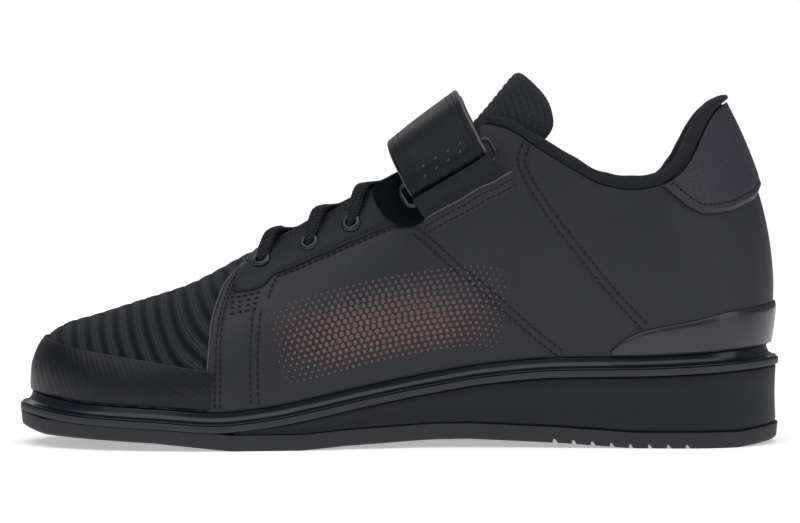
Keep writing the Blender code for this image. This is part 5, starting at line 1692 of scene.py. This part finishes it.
# %% Ring
RING_CORNER, WIRE_RADIUS = 2.6, 0.9
half = np.array([RING_LONG - RING_BAR, RING_SHORT - RING_BAR]) / 2 - RING_CORNER
angle = np.linspace(0, 2 * np.pi, 4 * 24, endpoint=False)
quadrant = (angle // (np.pi / 2)).astype(int) % 4
right = np.array([1, -1, -1, 1])[quadrant]
down = np.array([1, 1, -1, -1])[quadrant]
ring_path = (ring_middle + ring_along * (right * half[0] + RING_CORNER * np.cos(angle))[:, None]
             + ring_down * (down * half[1] + RING_CORNER * np.sin(angle))[:, None])
tangent = np.roll(ring_path, -1, 0) - np.roll(ring_path, 1, 0)
tangent = unit(tangent)
side_way = np.cross(tangent, ring_normal)
turn = np.linspace(0, 2 * np.pi, 14, endpoint=False)[None, :, None]
ring_points = (ring_path[:, None] + side_way[:, None] * np.cos(turn) * WIRE_RADIUS
               + ring_normal * np.sin(turn) * WIRE_RADIUS)
ring = piece_from("strap_ring", ring_points, grid_quads(len(angle), 14, 0, False, True, True),
                  ring_metal, None, False, True)
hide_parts("ring")

# %% Felt pad that drapes over the last eyelet
PAD_LOW = np.array([(0.4632, 0.960), (0.4644, 0.907), (0.4681, 0.843), (0.4738, 0.777),
                    (0.4810, 0.723), (0.4906, 0.672), (0.5012, 0.655), (0.5120, 0.668)])
PAD_HIGH = np.array([(0.4640, 0.975), (0.4690, 0.985), (0.4750, 0.985), (0.4825, 0.985),
                     (0.4900, 0.985), (0.5020, 0.980), (0.5220, 0.975), (0.5450, 0.970)])
t = np.linspace(0, 1, 70)
knots = np.linspace(0, 1, len(PAD_LOW))
low_line = each_column(smooth, t, knots, PAD_LOW)
high_line = each_column(smooth, t, knots, PAD_HIGH)
s = np.linspace(0, 1, 50)[:, None, None]
pad_uw = low_line[None] + (high_line - low_line)[None] * s
bare, _ = on_leather(INNER, pad_uw[..., 0], pad_uw[..., 1], 0.0)
seat, _ = eyelet_seat(INNER, 3)
over_eyelet = np.exp(-(np.linalg.norm(bare - seat, axis=-1) / 4.6) ** 4)
border = np.minimum(np.minimum(s[..., 0], 0.999), t[None, :] * 3.0)
round_edge = np.sqrt(1 - (1 - np.clip(border / 0.12, 0, 1)) ** 2)
on_stay = np.clip((pad_uw[..., 1] - 0.66) / 0.05, 0, 1)
pad_lift = (QUARTER_STEP + 0.2 + 1.3 * on_stay + 1.35 * over_eyelet + 1.1 * round_edge
            + 0.10 * np.sin(bare[..., 0] * 1.9) * np.sin(bare[..., 2] * 2.3))
pad_top, _ = on_leather(INNER, pad_uw[..., 0], pad_uw[..., 1], pad_lift)
pad = piece_from("felt_pad", pad_top, grid_quads(50, 70), felt, bare[..., ::2] / 10, False)
thicken(pad, 0.9)
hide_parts("ring_pad")


# %% Lips of the slots
LIP_REACH, LIP_HEIGHT = 7.5, 1.7


def lip_height(below, run):
    """Height over the leather: a squared cosine below the slot, that fades at its two ends."""
    ends = np.sin(np.clip(np.minimum(run, 1 - run) / 0.16, 0, 1) * np.pi / 2)
    share = np.clip((below + 0.6) / (LIP_REACH + 0.6), 0, 1)
    return LIP_HEIGHT * np.cos(share * np.pi / 2) ** 2 * ends


def lip_strip(name, side):
    """Leather that stands up at the slot's edge and runs out below it."""
    run = np.linspace(0, 1, 90)
    below = np.linspace(-0.6, LIP_REACH, 24)[:, None]
    upper_line = np.stack(seam_line(side, SLOT_EDGE, 0.6, 90))
    lower_line = np.stack(seam_line(side, SLOT_EDGE, -LIP_REACH, 90))
    t = (below + 0.6) / (LIP_REACH + 0.6)
    u, w = (upper + (lower - upper) * t for upper, lower in zip(upper_line, lower_line))
    lift = QUARTER_STEP - 0.30 * t**4 - 0.10 + lip_height(below, run)
    points, _ = on_leather(side, u, w, lift)
    uv = np.stack([points[..., 0], points[..., 2]], axis=-1) / 10
    strip = piece_from(name, points, grid_quads(24, 90, 0, side == INNER), leather, uv)
    thicken(strip, 0.9)
    return side, *upper_line, QUARTER_STEP - 0.15 + lip_height(-0.6, run)


lips = [lip_strip("slot_lip_medial", INNER), lip_strip("slot_lip_lateral", OUTER)]
edge_ribbon("slot_cut_edges", lips, 0.9, 0.6, lit_cut_edge)
slot_rows = []
for side in SIDES:
    for below in (2.1, 4.5):
        u, w = seam_line(side, SLOT_EDGE, -below, 160)
        slot_rows.append(on_leather(side, u, w, QUARTER_STEP - 0.03
                                    + lip_height(below, np.linspace(0, 1, 160))))
sew("slot_stitches", slot_rows, thread, 2.3)

# %% [markdown]
# ## A field of small dots on the side
#
# The side carries a plain half-tone of small round dots in metallic copper, biggest in the
# middle of the field and fading out to all sides. The copper shifts from brown at the bottom to
# mauve at the top. Each dot is a low dome that sits in the leather.

# %% Copper film
copper = Finish("copper_film", (0.125, 0.062, 0.058), 0.36, Metallic=0.35,
                Specular_IOR_Level=0.5, Coat_Weight=0.2, Coat_Roughness=0.25)
copper_at = copper.place()
height = copper.node("ShaderNodeSeparateXYZ")
copper.join(copper_at, height.inputs["Vector"])
shift = copper.maths("ADD", copper.ramp(height.outputs["Z"], 0.030, 0.066, 0.0, 1.0),
                     copper.maths("MULTIPLY", copper.noise(copper_at, 45.0, 2.0), 0.35))
shades = copper.node("ShaderNodeValToRGB")
shades.color_ramp.elements[0].position = 0.15
shades.color_ramp.elements[0].color = (0.135, 0.088, 0.072, 1.0)
shades.color_ramp.elements[1].position = 1.1
shades.color_ramp.elements[1].color = (0.085, 0.058, 0.070, 1.0)
middle_shade = shades.color_ramp.elements.new(0.62)
middle_shade.color = (0.180, 0.070, 0.064, 1.0)
copper.join(shift, shades.inputs["Fac"])
copper.join(shades.outputs["Color"], copper.shader.inputs["Base Color"])
copper.bump((copper.noise(copper_at, 900.0, 2.0), 0.03))

# %% Half-tone dots
FIELD = np.array([(0.390, 0.300), (0.440, 0.300), (0.490, 0.285), (0.545, 0.250),
                  (0.590, 0.215)])
PITCH, DOT_RADIUS, FIELD_HALF = 2.5, 1.08, 19.0
field_points, field_ups, field_radii = [], [], []
for side in SIDES:
    for number, aside in enumerate(np.arange(-7, 8) * PITCH * 0.866):
        u, w = seam_line(side, FIELD, aside, 300)
        _, _, at, run = every(on_leather(side, u, w)[0], PITCH)
        if number % 2:
            at = at + PITCH / 2
        share = at / run[-1]
        place_u, place_w = np.interp(at, run, u), np.interp(at, run, w)
        points, ups = on_waves(side, place_u, place_w, 0.02)
        ends = np.clip(np.minimum(share, 1 - share) / 0.30, 0, 1) ** 0.7
        fade = (1 - (aside / FIELD_HALF) ** 2) * ends
        radius = DOT_RADIUS * np.sqrt(np.clip(fade, 0, 1))
        keep = (radius > 0.28) & (share < 1)
        field_points.append(points[keep])
        field_ups.append(ups[keep])
        field_radii.append(radius[keep])
discs("copper_dots", np.concatenate(field_points), np.concatenate(field_ups),
      np.concatenate(field_radii), copper, 12, 0.10, 0.45)
print("dots:", sum(len(points) for points in field_points))
